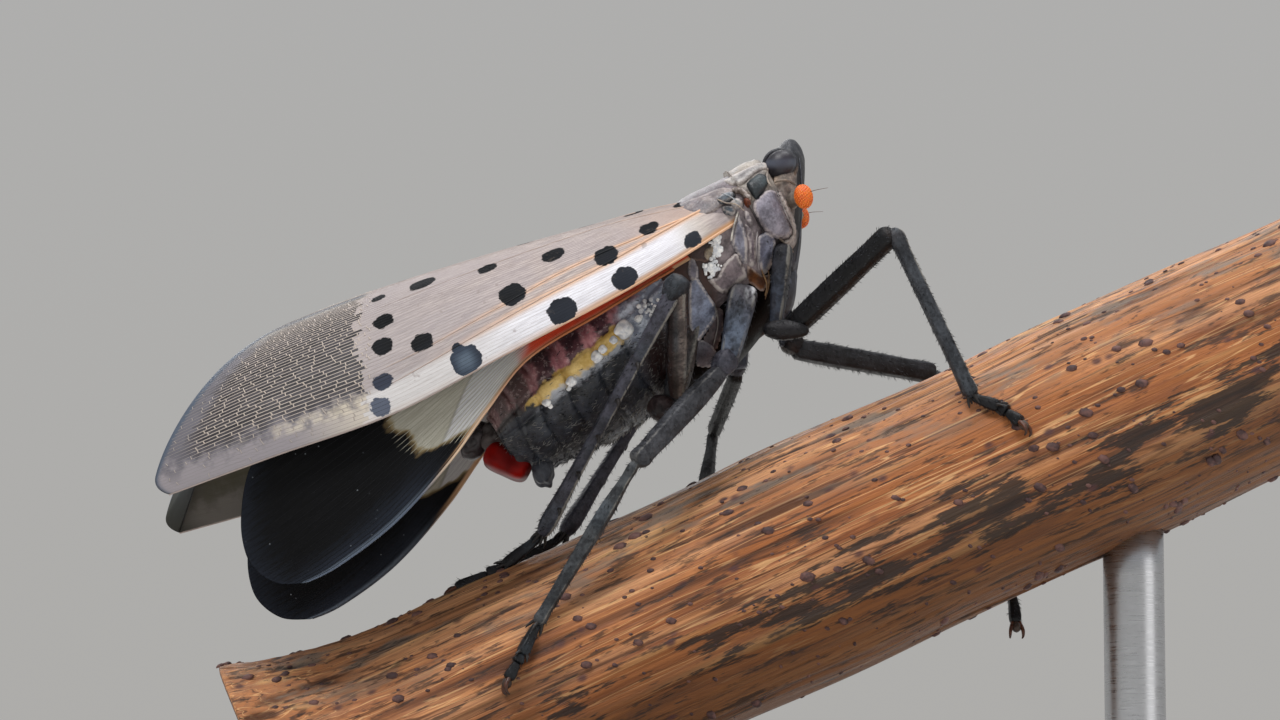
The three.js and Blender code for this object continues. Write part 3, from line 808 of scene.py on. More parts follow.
# %% What each point of the forewing knows
def girth_at(along, v):
    """Millimetres from the lower margin up the side of the wing, near enough for laying out a pattern."""
    side = half_width(along)
    tall = crest(along) - eave(along)
    turn = v * np.arccos(inner_margin(along) / side)
    return turn * np.hypot(side * np.sin(turn / 2), tall * np.cos(turn / 2))


def cell_strength(along, v):
    """1 where the cells of the net are darkest. It falls to 0 at the outer margin, at the lower margin, at
    the ridge, and along a vein a fifth of the way below the ridge."""
    tip = step(tegmen_end(v) - along, 0.45, 1.7)
    low = step(girth_at(along, v), 0.3, 1.5)
    return tip * low * (1 - bump_at(v, 0.79, 0.07)) * step(0.98 - v, 0.0, 0.05)


def spot_distance(along, v, wave):
    """Millimetres to the edge of the nearest spot, below 0 within a spot. wave makes the edge uneven."""
    nearest = np.full(along.shape, float(FAR))
    girth = girth_at(along, v)
    for centre, share, length, width in SPOTS:
        dx = (along - centre) / (length / 2)
        dy = (girth - girth_at(np.array(float(centre)), share)) / (width / 2)
        size = (length + width) / 4
        blocky = (np.abs(dx) ** 2.4 + np.abs(dy) ** 2.4) ** (1 / 2.4)
        nearest = np.minimum(nearest, (blocky - 1) * size)
    return nearest + 0.035 * wave


def near_veins(along, v):
    """1 on the two orange veins of the shoulder, 0 a quarter of a millimetre off them and toward the tip."""
    glow = np.zeros(along.shape)
    for name in ("shoulder_low", "shoulder_high"):
        course = spline(MAIN_VEINS[name][0], np.linspace(0, 1, 60))
        away = girth_at(along, v) - girth_at(along, np.interp(along, course[:, 0], course[:, 1]))
        begun = step(along, course[0, 0] - 0.3, course[0, 0] + 0.3)
        glow = np.maximum(glow, begun * bump_at(away, 0, 0.13 if name == "shoulder_low" else 0.09))
    return glow * (1 - step(along, 6, 12))


def tegmen_marks(points, u, v, along):
    girth = girth_at(along, v)
    end = along / np.maximum(u, 1e-3)
    wave = wobble(points, 0.35, 3)
    margin = np.minimum(end - along, FAR)
    net_from = net_start(v) + 0.22 * wobble(points, 0.9, 4)
    columns = np.arange(u.shape[1])
    return {
        "along": along,
        "girth": girth,
        "height_share": v,
        "spot": spot_distance(along, v, wave),
        "net": step(along - net_from, -0.05, 0.35),
        "margin": np.where(u < 1e-3, FAR, margin),
        "alive": cell_strength(along, v),
        "glow": near_veins(along, v),
        "cream": step(1.05 - 0.12 * step(along, 5, 10) - girth, -0.2, 0.2) * step(along, 0.6, 2.2),
        "inside": np.broadcast_to(columns >= len(columns) / 2, u.shape).astype(float),
    }


print("spots and main veins of a forewing:", len(SPOTS), "and", len(MAIN_VEINS))

# %% [markdown]
# The membrane is leathery, pinkish grey and finely streaked along the wing. Below the main vein runs a
# cream strip, painted pale as the face that catches the light. The lower margin is ochre. Toward the tip
# the membrane turns into dark cells. The streaks come from the shared fibre effect, stretched with the two
# distances that the mesh carries.

# %% Finish of the forewing
def tegmen_finish(tree):
    along, girth = tree.mark("along"), tree.mark("girth")
    streak = tree.effect(fibres, Vector=tree.vector(tree.times(along, 0.9), tree.times(girth, 9.0)))
    blotch = tree.noise(420, 4, 0.6)
    base = tree.mix(streak["Fibre"], "8b7f7c", "b5a7a1")
    base = tree.over(base, "a0979a", tree.fit(blotch, 0.4, 0.62, 0, 0.4))
    base = tree.over(base, "928b8c", tree.fit(along, 6.5, 12.0, 0, 0.6))
    blush = tree.times(tree.fit(along, 4.2, 0.4), tree.fit(girth, 0.7, 1.6))
    base = tree.over(base, "cda892", blush, 0.7)
    # The strip below the main vein is painted pale, as the face that catches the light.
    cream = tree.mix(streak["Fibre"], "cdcbd1", "e3e2e8")
    cream = tree.over(cream, "b2ada6", tree.fit(along, 7.0, 11.0, 0, 0.6))
    cream = tree.over(cream, "c9bfa9", tree.fit(along, 2.6, 0.4))
    base = tree.mix(tree.mark("cream"), base, cream)
    base = tree.over(base, "e0b28c", tree.mark("glow"), 0.8)
    ochre = tree.times(tree.fit(girth, 0.22, 0.04), tree.fit(along, 10.5, 4.0, 0.1, 0.85))
    base = tree.over(base, "b98550", ochre)
    fleck = tree.times(tree.patchy(2600, 2, 0.5, 0.69, 0.74), 0.5)
    base = tree.over(base, "7c6f6c", fleck)

    row = tree.times(tree.less(tree.mark("height_share"), VEIN["low"]), VEIN["per_share"])
    row = tree.maths("FLOOR", tree.plus(row, 0.001))
    luck = tree.node("ShaderNodeTexWhiteNoise", {"W": row}, noise_dimensions="1D").outputs["Value"]
    brick = tree.maths("FLOOR", tree.plus(tree.times(along, 1.75), tree.times(luck, 9)))
    pair = {"Vector": tree.vector(row, brick)}
    chance = tree.node("ShaderNodeTexWhiteNoise", pair, noise_dimensions="2D").outputs["Value"]
    cell = tree.mix(chance, "1d1b1f", "403c40")
    frayed = tree.plus(girth, tree.patchy(2200, 3, 0.6, 0.3, 0.7, -0.3, 0.3))
    band = tree.mix(tree.fit(along, 16.5, 13.2), "8a8488", "bfb5a8")
    outer = tree.mix(tree.fit(frayed, 1.15, 0.4), "625f66", band)
    fringe = tree.fit(tree.off(girth, 0.7), 0.3, 0.1)
    fringe = tree.times(fringe, tree.patchy(1900, 3, 0.6, 0.4, 0.56, 0, 0.8))
    fringe = tree.times(fringe, tree.fit(along, 18.5, 15.0))
    outer = tree.over(outer, "c4b9a8", fringe)
    outer = tree.over(outer, "8b867e", tree.fit(tree.mark("height_share"), 0.62, 0.74))
    blue = tree.fit(tree.off(tree.mark("height_share"), 0.81), 0.06, 0.03)
    outer = tree.over(outer, "4e5a6a", blue, 0.9)
    dashes = tree.times(tree.fit(chance, 0.6, 0.66), tree.fit(girth, 1.3, 1.8))
    outer = tree.over(outer, "5a575b", dashes, 0.35)
    rim = tree.less(tree.mark("margin"), tree.times(tree.mark("height_share"), 0.5))
    outer = tree.over(outer, "48515f", tree.fit(rim, 0.2, -0.05))
    alive = tree.plus(tree.mark("alive"), tree.fit(chance, 0, 1, -0.18, 0.18))
    cell = tree.mix(tree.times(tree.fit(alive, 0.05, 0.8), tree.fit(frayed, 0.35, 1.5)), outer, cell)
    begun = tree.plus(tree.mark("net"), tree.fit(luck, 0, 1, -0.45, 0.45))
    base = tree.mix(tree.fit(begun, 0.45, 0.55), base, cell)

    jag = tree.patchy(6500, 3, 0.6, 0.3, 0.7, -0.028, 0.028)
    spot_here = tree.plus(tree.mark("spot"), jag)
    black = tree.mix(tree.fit(blotch, 0.4, 0.6), "07080a", "14161a")
    worn = tree.times(tree.patchy(3300, 3, 0.6, 0.6, 0.7), tree.fit(along, 9, 5))
    black = tree.over(black, "75685e", worn, 0.35)
    bluish = tree.times(tree.fit(along, 9.4, 10.0), tree.fit(girth, 1.2, 0.8))
    centre = tree.mix(tree.fit(tree.mark("spot"), -0.05, -0.4), "323c49", "55626f")
    black = tree.mix(tree.times(bluish, tree.fit(along, 10.9, 10.3)), black, centre)
    low_spots = tree.times(tree.fit(girth, 1.8, 1.2), tree.fit(along, 11.8, 12.6, 0.2, 0.95))
    black = tree.mix(low_spots, black, tree.mix(tree.fit(girth, 1.0, 0.5), "363a47", "585e6c"))
    spotted = tree.fit(spot_here, 0.018, -0.012)
    colour = tree.mix(spotted, base, black)
    lining = tree.mix(0.35, "4c4834", colour)
    lining = tree.over(lining, "2e2e28", tree.fit(tree.mark("margin"), 1.3, 0.0, 0, 0.85))
    colour = tree.mix(tree.mark("inside"), colour, lining)
    height = tree.plus(tree.times(streak["Height"], 0.6), tree.times(blotch, 0.4))
    return {"Base_Color": colour, "Roughness": tree.fit(blotch, 0.3, 0.7, 0.5, 0.62),
            "Specular_IOR_Level": tree.fit(spotted, 0, 1, 0.3, 0.06), "Normal": tree.bump(height, 0.035, 0.8)}


tegmen_skin = finish_named("forewing_membrane", tegmen_finish)
for which in SIDES:
    sheet = wing_sheet(f"forewing_{which}", which, TEGMEN, tegmen_point, tegmen_marks, tegmen_skin)
    stand_for(sheet, "wing", f"tegmen_{which}")

# %% [markdown]
# Veins are real ribs on the membrane. A few stout ones carry the wing: the ochre bead of the lower margin
# and two orange veins that leave the shoulder together. Between them run some sixty hair-fine ones. In the
# outer third these turn into rows of bricks, with a pale cross vein at the end of each brick.

# %% Veins of the forewing
def on_tegmen(which, along, v, lift):
    """A point of the forewing from millimetres along it instead of the share u."""
    return tegmen_point(which, np.clip(along / tegmen_end(v), 0, 1), v, lift)[0]


def vein_finish(tree):
    tone = tree.mix(tree.noise(2500, 3, 0.6), "8d8380", "b1a5a1")
    tone = tree.over(tone, "b8aca2", tree.fit(tree.mark("netted"), 0.2, 0.8))
    tone = tree.over(tone, "e3b591", tree.mark("warm"))
    tone = tree.over(tone, "84807f", tree.fit(tree.mark("dim"), 0.0, 1.0))
    tone = tree.over(tone, "101216", tree.fit(tree.mark("spot"), 0.03, -0.03))
    return {"Base_Color": tone}


vein_skin = finish_named("vein", vein_finish, Roughness=0.55, Specular_IOR_Level=0.2)


def main_veins(which):
    lines, girths, warm, spots = [], [], [], []
    share = np.linspace(0, 1, 120)
    for course, thick, thin in MAIN_VEINS.values():
        at = spline(course, share)
        lines.append(on_tegmen(which, at[:, 0], at[:, 1], 0.0))
        girths.append(thick + (thin - thick) * share)
        warm.append((0.85 - 0.75 * share) * (1.0 if thick > 0.04 else 0.35))
        spots.append(spot_distance(at[:, 0], at[:, 1], 0))
    margin = np.linspace(0.01, 1, 150)
    edge, along = tegmen_point(which, margin, np.full(150, 0.0), -0.05)
    lines.append(edge)
    girths.append(0.062 - 0.02 * margin)
    warm.append(0.9 - 0.85 * step(along, 4, 11))
    spots.append(np.full(150, float(FAR)))
    still = [np.zeros(len(line)) for line in lines]
    return lines, girths, {"warm": warm, "netted": still, "dim": still, "spot": spots}


def fine_veins(which, rng):
    """Rows of hair-fine veins, and the cross veins that cut them into bricks in the outer part."""
    lines, girths, netted, dim, spots = [], [], [], [], []
    rows = np.linspace(VEIN["low"], VEIN["high"], VEIN["rows"])
    for v in rows:
        along = np.arange(0.8 + rng.uniform(0, 0.8), tegmen_end(v) - 0.1, VEIN["step"])
        if len(along) < 4:
            continue
        in_net = step(along, net_start(v) - 0.3, net_start(v) + 0.3)
        alive = cell_strength(along, v)
        lines.append(on_tegmen(which, along, np.full(len(along), v), -0.001))
        pale_strip = step(1.25 - girth_at(along, v), 0, 0.2)
        fine = VEIN["fine"] * (1 - 0.6 * pale_strip)
        fine = fine + (VEIN["net_row"] - fine) * in_net * (0.1 + 0.9 * alive)
        girths.append(fine)
        netted.append(in_net)
        dim.append(in_net * (1 - alive))
        spots.append(spot_distance(along, v, 0))
    for low, high in zip(rows[:-1], rows[1:]):
        middle = (low + high) / 2
        at = net_start(middle) + rng.uniform(-0.3, 0.3)
        while at < tegmen_end(middle) - 0.15:
            alive = float(cell_strength(np.array(at), np.array(middle)))
            if rng.random() < 0.35 + 0.65 * alive:
                shift = rng.uniform(-0.04, 0.04)
                ends_at = np.array([at, at + shift])
                lines.append(on_tegmen(which, ends_at, np.array([low, high]), 0.004))
                girths.append(np.full(2, VEIN["net_bar"] * (0.55 + 0.45 * alive)))
                netted.append(np.ones(2))
                dim.append(np.full(2, 0.5 * (1 - alive)))
                spots.append(np.full(2, float(FAR)))
            at += VEIN["brick"] * rng.uniform(0.6, 1.5)
    cool = [np.zeros(len(line)) for line in lines]
    return lines, girths, {"warm": cool, "netted": netted, "dim": dim, "spot": spots}


for which in SIDES:
    lines, girths, marks = fine_veins(which, np.random.default_rng(SEED))
    stand_for(ribs(f"forewing_net_{which}", lines, girths, vein_skin, 3, marks), "wing")
    lines, girths, marks = main_veins(which)
    stand_for(ribs(f"forewing_veins_{which}", lines, girths, vein_skin, 6, marks), "wing")

# %% [markdown]
# The hindwing hangs below the roof: red where it leaves the body, a pale greenish window in the middle, and
# black from there to the tip, with a painted bluish sheen along its lower margin and a few painted glints.
# It is ribbed by straight fine veins that fan out.

# %% Finish of the hindwing
BLACK_FROM = smooth((0, 11.05), (0.1, 11.5), (0.18, 12.0), (0.25, 12.6), (0.35, 13.05), (0.55, 13.1),
                    (1, 13.0))  # millimetres along the wing, for each share across it
RED_TO = 8.7


def hindwing_marks(points, u, v, flat):
    along = flat[..., 0]
    lead = np.linalg.norm(flat - spline(HINDWING_LEADING, u), axis=-1)
    spikes = 0.22 * np.sin(v * 17 + 1) + 0.1 * np.abs(np.sin(v * 52)) + 0.1 * wobble(points, 0.5, 9)
    return {
        "along": along,
        "lead": lead,
        "fan": v,
        "black": along - BLACK_FROM(v) + spikes,
        "outer": (1 - u) * FAR,
        "red": RED_TO - along - 1.2 * v + 0.25 * wobble(points, 0.9, 10),
    }


def hindwing_finish(tree):
    along, lead, fan = tree.mark("along"), tree.mark("lead"), tree.mark("fan")
    streak = tree.effect(fibres, Vector=tree.vector(tree.times(along, 0.7), tree.times(fan, 70.0)))
    window = tree.mix(streak["Fibre"], "8c897d", "9f9c91")
    fold = tree.less(lead, tree.fit(along, 8.5, 12.5, 1.5, 0.55))
    window = tree.mix(tree.fit(fold, 0.06, -0.06), window, tree.mix(streak["Fibre"], "99989a", "b4b3b2"))
    window = tree.over(window, "5f5c50", tree.fit(tree.maths("ABSOLUTE", fold), 0.09, 0.0), 0.5)
    window = tree.over(window, "7c6f54", tree.fit(tree.mark("black"), -0.24, -0.08))
    red = tree.mix(streak["Fibre"], "a62c16", "d4492a")
    red = tree.over(red, "3a1512", tree.patchy(900, 2, 0.5, 0.62, 0.7))
    tone = tree.mix(tree.fit(tree.mark("red"), -0.35, 0.35), window, red)
    black = tree.mix(streak["Fibre"], "020203", "08080a")
    # Painted glints: rare tiny light specks on the black, standing for reflections off the veins.
    star = tree.fit(tree.cells(3200), 0.1, 0.04)
    rare = tree.patchy(1500, 2, 0.5, 0.5, 0.6)
    black = tree.over(black, "6e7378", star, rare)
    # Painted sheen: a bluish reflection along the lower margin and round the tip.
    rim_reach = tree.plus(lead, tree.fit(streak["Fibre"], 0, 1, -0.3, 0.2))
    painted_sheen = tree.times(tree.fit(rim_reach, 1.1, 0.1, 0, 0.9), tree.fit(along, 11.5, 14.0))
    tip = tree.fit(tree.plus(tree.mark("outer"), tree.fit(streak["Fibre"], 0, 1, -0.5, 0.3)), 0.9, 0.0)
    painted_sheen = tree.maths("MAXIMUM", painted_sheen, tree.times(tip, 0.6))
    painted_sheen = tree.times(painted_sheen, tree.fit(streak["Fibre"], 0.0, 1.0, 0.35, 1.0))
    black = tree.over(black, "272d39", painted_sheen)
    # Painted highlight: a thin light line along the lower margin.
    painted_rim_glint = tree.times(tree.fit(lead, 0.2, 0.06), tree.fit(along, 12.0, 14.5))
    black = tree.over(black, "66717f", painted_rim_glint, 0.7)
    edge = tree.fit(tree.mark("black"), -0.12, 0.0)
    tone = tree.over(tone, "3d2f1c", edge, 0.8)
    tone = tree.mix(tree.fit(tree.mark("black"), 0.0, 0.14), tone, black)
    tan = tree.times(tree.fit(lead, 0.15, 0.04), tree.fit(along, 12.8, 11.2))
    tone = tree.over(tone, "b5906f", tan)
    return {"Base_Color": tone, "Normal": tree.bump(streak["Height"], 0.03, 0.7)}


hindwing_skin = finish_named("hindwing_membrane", hindwing_finish, Roughness=0.6, Specular_IOR_Level=0.1)
for which in SIDES:
    name = f"hindwing_sheet_{which}"
    sheet = wing_sheet(name, which, HINDWING, hindwing_point, hindwing_marks, hindwing_skin)
    stand_for(sheet, "hindwing", f"hindwing_{which}")

# %% [markdown]
# The veins of the hindwing run nearly straight from root to edge. They are ribs again, closer together
# toward the lower margin, whose own vein is four times as stout.

# %% Veins of the hindwing
HIND_VEINS = {"count": 26, "girth": 0.012, "margin": 0.05}


def hind_vein_finish(tree):
    along = tree.mark("at")
    tone = tree.mix(tree.fit(along, 7.6, 9.0), "a83a22", "969385")
    tone = tree.over(tone, "0b0c0f", tree.fit(tree.mark("dark"), 0.3, 0.7))
    edge = tree.mix(tree.fit(along, 6.5, 12.5), "a0603c", "c5ae94")
    # Toward the tip the margin vein takes the bluish grey of the painted sheen on the lower margin.
    edge = tree.over(edge, "515a69", tree.fit(along, 11.5, 13.5))
    tone = tree.mix(tree.fit(tree.mark("edge"), 0.3, 0.7), tone, edge)
    return {"Base_Color": tone}


hind_vein_skin = finish_named("hindwing_vein", hind_vein_finish, Roughness=0.5, Specular_IOR_Level=0.15)
for which in SIDES:
    lines, girths, at, dark, edge = [], [], [], [], []
    for v in np.linspace(0.0, 0.96, HIND_VEINS["count"]) ** 1.15:
        u = np.linspace(0.04, 0.985, 60)
        points, flat = hindwing_point(which, u, np.full(60, v), 0.0)
        lead = v == 0
        lines.append(points)
        girths.append((HIND_VEINS["margin"] if lead else HIND_VEINS["girth"]) * (1.15 - 0.6 * u))
        at.append(flat[:, 0])
        dark.append(step(flat[:, 0] - BLACK_FROM(v), -0.05, 0.3))
        edge.append(np.full(60, float(lead)))
    marks = {"at": at, "dark": dark, "edge": edge}
    stand_for(ribs(f"hindwing_veins_{which}", lines, girths, hind_vein_skin, 5, marks), "hindwing")

# %% [markdown]
# Horn, the hard skin of an insect, is satin and clouded, paler along its rims and dusted with wax. It could
# be a material for each colour. Here one serves all plates, because every mesh brings its own tints: a
# colour for each point, how pale the rim is there, and how much wax lies on it.

# %% Finish of the horny parts
def horn_finish(tree):
    tint = tree.mark("tint", "Color")
    cloud = tree.effect(horn_cloud, Scale=1700.0, Dark="827e84", Pale="ffffff")
    tone = tree.mix(0.85, tint, cloud["Color"], "MULTIPLY")
    pale = tree.times(tree.mark("rim"), tree.plus(cloud["Cloud"], 0.4))
    tone = tree.over(tone, "b5aca8", tree.fit(pale, 0.12, 0.9, 0, 0.92))
    dust = tree.effect(wax_dust, Color=tone, Scale=11000.0, Amount=tree.plus(tree.mark("wax"), 0.16))
    clots = tree.plus(tree.mark("wax"), tree.patchy(6000, 4, 0.7, 0.3, 0.7, -0.4, 0.4))
    wax = tree.fit(clots, 0.55, 0.8)
    tone = tree.over(dust["Color"], "e8e6e6", wax)
    grain = tree.plus(tree.times(cloud["Grain"], 0.6), tree.times(wax, 0.6))
    return {"Base_Color": tone, "Roughness": tree.fit(cloud["Cloud"], 0.0, 1.0, 0.44, 0.62),
            "Normal": tree.bump(grain, 0.03, 0.8)}


horn = finish_named("horn", horn_finish, Specular_IOR_Level=0.42)
shaded_horn = finish_named("shaded_horn", horn_finish, Specular_IOR_Level=0.04)


def tinted(count, tint, wax=0.0):
    """Marks for the horn finish, the same for all points of a piece."""
    return {"tint": rgb(tint, count), "rim": np.zeros(count), "wax": np.full(count, wax)}


def blend(marks, share, tint):
    """Draws a second tint over the first where share is 1."""
    share = np.asarray(share)[:, None]
    marks["tint"] = marks["tint"] * (1 - share) + rgb(tint) * share

# %% [markdown]
# Head, thorax and abdomen start as one row of lofts. Each station gives the middle of a ring in the side
# view, and its half height and half width. A ring is a rounded square that leans with the body.

# %% Trunk of the body
TRUNKS = {  # lean in degrees, squareness, keel, stations of (x, z, half height, half width)
    "head": (0, 2.2, 0.22, [(1.45, 35.2, 1.65, 1.5), (1.7, 35.05, 2.14, 1.62), (1.98, 34.97, 2.4, 1.52),
                            (2.2, 34.92, 2.38, 1.25), (2.37, 34.86, 2.2, 0.95), (2.47, 34.84, 1.87, 0.5)]),
    "sternum": (10, 2.2, 0.0, [(1.5, 32.9, 0.6, 1.0), (1.1, 32.5, 1.2, 1.45), (0.5, 32.1, 1.6, 1.75),
                               (-0.4, 31.4, 1.85, 2.0), (-1.3, 30.8, 1.8, 2.1), (-2.1, 30.4, 1.5, 2.1)]),
    "clypeus": (0, 2.0, 0.0, [(1.8, 32.1, 0.6, 0.7), (2.0, 32.05, 0.95, 0.8), (2.24, 32.1, 1.0, 0.7),
                              (2.42, 32.2, 0.85, 0.5), (2.5, 32.3, 0.5, 0.25)]),
    "pronotum": (28, 2.4, 0.05, [(0.62, 34.6, 1.78, 2.5), (0.72, 34.66, 1.74, 2.55), (1.2, 34.98, 1.72, 2.35),
                                 (1.58, 35.3, 1.5, 1.8)]),
    "thorax": (28, 2.4, 0.1, [(0.68, 34.6, 1.66, 2.45), (0.14, 34, 1.95, 2.7), (-0.69, 33.4, 2.1, 2.85),
                              (-1.51, 32.5, 2.2, 2.85), (-2.1, 31.9, 2.2, 2.85)]),
    "abdomen": (31, 2.15, 0.08, [(-2.0, 31.95, 2.2, 2.85), (-3, 30.9, 2.25, 3.05), (-4, 30.02, 2.26, 3.1),
                                 (-5.11, 29.16, 2.14, 3), (-6.17, 28.4, 1.9, 2.7), (-7, 27.72, 1.5, 2.15),
                                 (-7.6, 27.3, 0.9, 1.3)]),
}


def bow(value, power):
    """Bends a sine or cosine so that the ring it draws is squarer than a circle."""
    return np.sign(value) * np.abs(value) ** (2 / power)


def trunk(name, rows, columns, swell):
    """Rings of a trunk, with the station number and the turn of each point. swell widens it by a share."""
    lean, square, keel, stations = TRUNKS[name]
    share = np.linspace(0, 1, rows)
    at = spline(stations, share)
    station, turn = np.meshgrid(share * (len(stations) - 1), circle(columns), indexing="ij")
    grow = 1 + (swell(station, turn) if swell else 0)
    up = np.array([-math.sin(math.radians(lean)), 0, math.cos(math.radians(lean))])
    tall = (at[:, 2:3] * bow(np.sin(turn), square) * grow)[..., None]
    wide = at[:, 3:4] * (1 + keel * np.sin(turn)) * bow(np.cos(turn), square) * grow
    centre = np.stack([at[:, 0], 0 * at[:, 0], at[:, 1]], 1)[:, None]
    rings = centre + tall * up + wide[..., None] * np.array([0, 1.0, 0])
    return rings, station, turn

# %% [markdown]
# The abdomen of a well fed lanternfly swells out between its plates. Above lies a row of dark maroon and
# pink, then a band of yellow skin, then slate grey plates underneath. The borders of the segments are
# grooves. White wax oozes from pores along the yellow band. Bands and grooves follow the loft's own
# numbers, so that they close all the way round.

# %% Abdomen
SEGMENT = {"first": 1.55, "pitch": 0.85}  # station of the first border, and from one border to the next
RISE = {"yellow_low": -0.07, "yellow_high": 0.17, "slate": -0.1}  # share of the height, from the middle


def rise_and_phase(station, turn):
    """How high a point of the abdomen lies, from -1 to 1, and how many segments lie before it."""
    rise = bow(np.sin(turn), TRUNKS["abdomen"][1])
    return rise, (station - SEGMENT["first"]) / SEGMENT["pitch"] + 0.12 * np.sin(3 * turn)


def abdomen_swell(station, turn):
    rise, phase = rise_and_phase(station, turn)
    saw = phase - np.floor(phase)
    groove = -0.045 * np.exp(-(np.minimum(saw, 1 - saw) / 0.09) ** 2)
    shingle = 0.035 * saw * step(-rise, 0.12, 0.3)
    band = 0.03 * bump_at(rise, 0.05, 0.14) * np.abs(np.sin(math.pi * phase)) ** 0.5
    fold = -0.03 * bump_at(rise, RISE["yellow_high"] + 0.02, 0.035)
    fold = fold - 0.05 * bump_at(rise, RISE["slate"] - 0.04, 0.04)
    return groove + shingle + band + fold


def abdomen_finish(tree):
    rise, phase = tree.mark("rise"), tree.mark("phase")
    wave = tree.maths("COSINE", tree.times(phase, 2 * math.pi))
    cloud = tree.effect(horn_cloud, Scale=1500.0, Dark="28171e", Pale="57343b")
    pink = tree.mix(cloud["Cloud"], "8a545c", "b88084")
    patchy = tree.plus(wave, tree.patchy(1300, 3, 0.6, 0.3, 0.7, -0.7, 0.7))
    top = tree.mix(tree.fit(patchy, -0.35, 0.75), cloud["Color"], pink)
    tail = tree.fit(tree.mark("station"), 3.4, 4.6)
    top = tree.over(top, "5c4a48", tail, 0.75)
    speckle = tree.patchy(7000, 2, 0.6, 0.56, 0.66)
    top = tree.over(top, "c9b3b0", speckle, 0.3)
    narrow = tree.fit(tree.mark("station"), 3.8, 4.75, 0, 0.13)
    yellow = tree.mix(cloud["Cloud"], "b8964a", "dec07c")
    slate = tree.mix(cloud["Cloud"], "131418", "2d313b")
    sheen = tree.patchy(520, 2, 0.5, 0.5, 0.66)
    slate = tree.over(slate, "4a535e", sheen, 0.5)
    dust = tree.effect(wax_dust, Color=slate, Scale=12000.0, Amount=0.4)
    ragged = tree.patchy(2600, 3, 0.6, 0.3, 0.7, -0.04, 0.04)
    here = tree.plus(rise, ragged)
    above, below = tree.plus(here, narrow), tree.less(here, narrow)
    skin = tree.mix(tree.fit(above, RISE["yellow_high"] - 0.02, RISE["yellow_high"] + 0.03), yellow, top)
    ended = tree.fit(tree.plus(tree.mark("station"), ragged), 4.55, 4.75)
    skin = tree.over(skin, "2e2727", ended, tree.fit(here, 0.3, 0.2))
    under = tree.fit(below, RISE["yellow_low"] + 0.02, RISE["yellow_low"] - 0.03)
    skin = tree.mix(under, skin, dust["Color"])
    powder = tree.off(here, RISE["yellow_low"] - 0.04)
    powder = tree.times(tree.fit(powder, 0.11, 0.02), tree.patchy(2400, 3, 0.6, 0.38, 0.54))
    powder = tree.times(powder, tree.fit(tree.mark("station"), 4.6, 3.6))
    skin = tree.over(skin, "b6b9c1", powder, 0.8)
    front = tree.times(tree.fit(tree.mark("station"), 1.75, 1.3), tree.fit(here, 0.42, 0.22))
    front = tree.times(front, tree.fit(here, -0.4, -0.1))
    shade = tree.times(tree.fit(tree.mark("station"), 1.7, 1.2), tree.fit(here, -0.12, -0.35))
    skin = tree.over(skin, "241110", shade)
    waxy = tree.mix(tree.patchy(2300, 4, 0.65, 0.42, 0.62), "767c8c", "c3cad6")
    skin = tree.mix(front, skin, waxy)
    wrinkle = tree.noise(4200, 4, 0.62)
    return {"Base_Color": skin, "Roughness": tree.fit(wrinkle, 0.3, 0.7, 0.4, 0.6),
            "Normal": tree.bump(wrinkle, 0.05, 0.8)}


abdomen_skin = finish_named("abdomen_skin", abdomen_finish, Specular_IOR_Level=0.45)
rings, station, turn = trunk("abdomen", 220, 200, abdomen_swell)
rise, phase = rise_and_phase(station, turn)
hairy = step(-rise, 0.1, 0.35) + 0.12
lie = unit(np.gradient(rings, axis=0)) + 0.55 * unit(rings - rings.mean(1, keepdims=True))
marks = {"rise": rise, "phase": phase, "station": station, "thick": hairy, "lie": lie}
marks = {mark: ends(values) for mark, values in marks.items()}
body_shapes = [loft(rings)]
uv = round_uv(station / (len(TRUNKS["abdomen"][3]) - 1), turn / (2 * math.pi))
abdomen = piece("abdomen_body", *body_shapes[0], abdomen_skin, marks, uv)
stand_for(abdomen, "abdomen", "abdomen")

# %% [markdown]
# The thorax is a box of plates with soft skin between. First comes the skin, grey-brown above and nearly
# black below, with painted shade in the pit under the wing base. Then every plate is drawn as an outline in
# the side view, filled with a fine mesh, laid on the skin, domed, and given a raised pale rim.

# %% Soft skin of the thorax
def bare_trunk(name, rows, columns, swell=None, slope_back=None):
    """Points, faces and UV map of a trunk, with the station number and the turn of each point."""
    rings, station, turn = trunk(name, rows, columns, swell)
    points, faces = loft(rings)
    if slope_back:
        points[:, 0] -= slope_back(points[:, 2])
    body_shapes.append((points, faces))
    uv = round_uv(station / (len(TRUNKS[name][3]) - 1), turn / (2 * math.pi))
    return points, faces, uv, ends(station), ends(turn)


points, faces, uv, station, turn = bare_trunk("sternum", 60, 90)
marks = tinted(len(points), "0b0706", wax=-0.16)
blend(marks, step(wobble(points, 0.9, 21), 0.1, 0.8) * 0.6, "1c1210")
stand_for(piece("underside_skin", points, faces, shaded_horn, marks, uv), "thorax")

points, faces, uv, station, turn = bare_trunk("thorax", 90, 140)
marks = tinted(len(points), "8c8082", wax=0.1)
# Painted shade: the skin behind and below the wing base, under the wing, is darkened.
wing_pit_shade = step(-0.3 - points[:, 0], 0, 0.4) * step(34.0 - points[:, 2], 0, 0.3)
blend(marks, step(np.sin(turn), 0.45, 0.75), "7a6f73")
blend(marks, step(wobble(points, 0.5, 20), 0.1, 0.7) * 0.5, "54484a")
blend(marks, wing_pit_shade, "3a1e16")
stripe = bump_at(np.abs(points[:, 1]), 0.75, 0.12) * step(np.sin(turn), 0.3, 0.6)
blend(marks, stripe * 0.7, "8d8078")
stand_for(piece("thorax_skin", points, faces, horn, marks, uv), "thorax", "thorax")

# %% [markdown]
# The pronotum is the collar behind the head, greyish cream with a fine ridge along its back. It is a loft
# like the rest, and its two hems are swellings of the same rule.

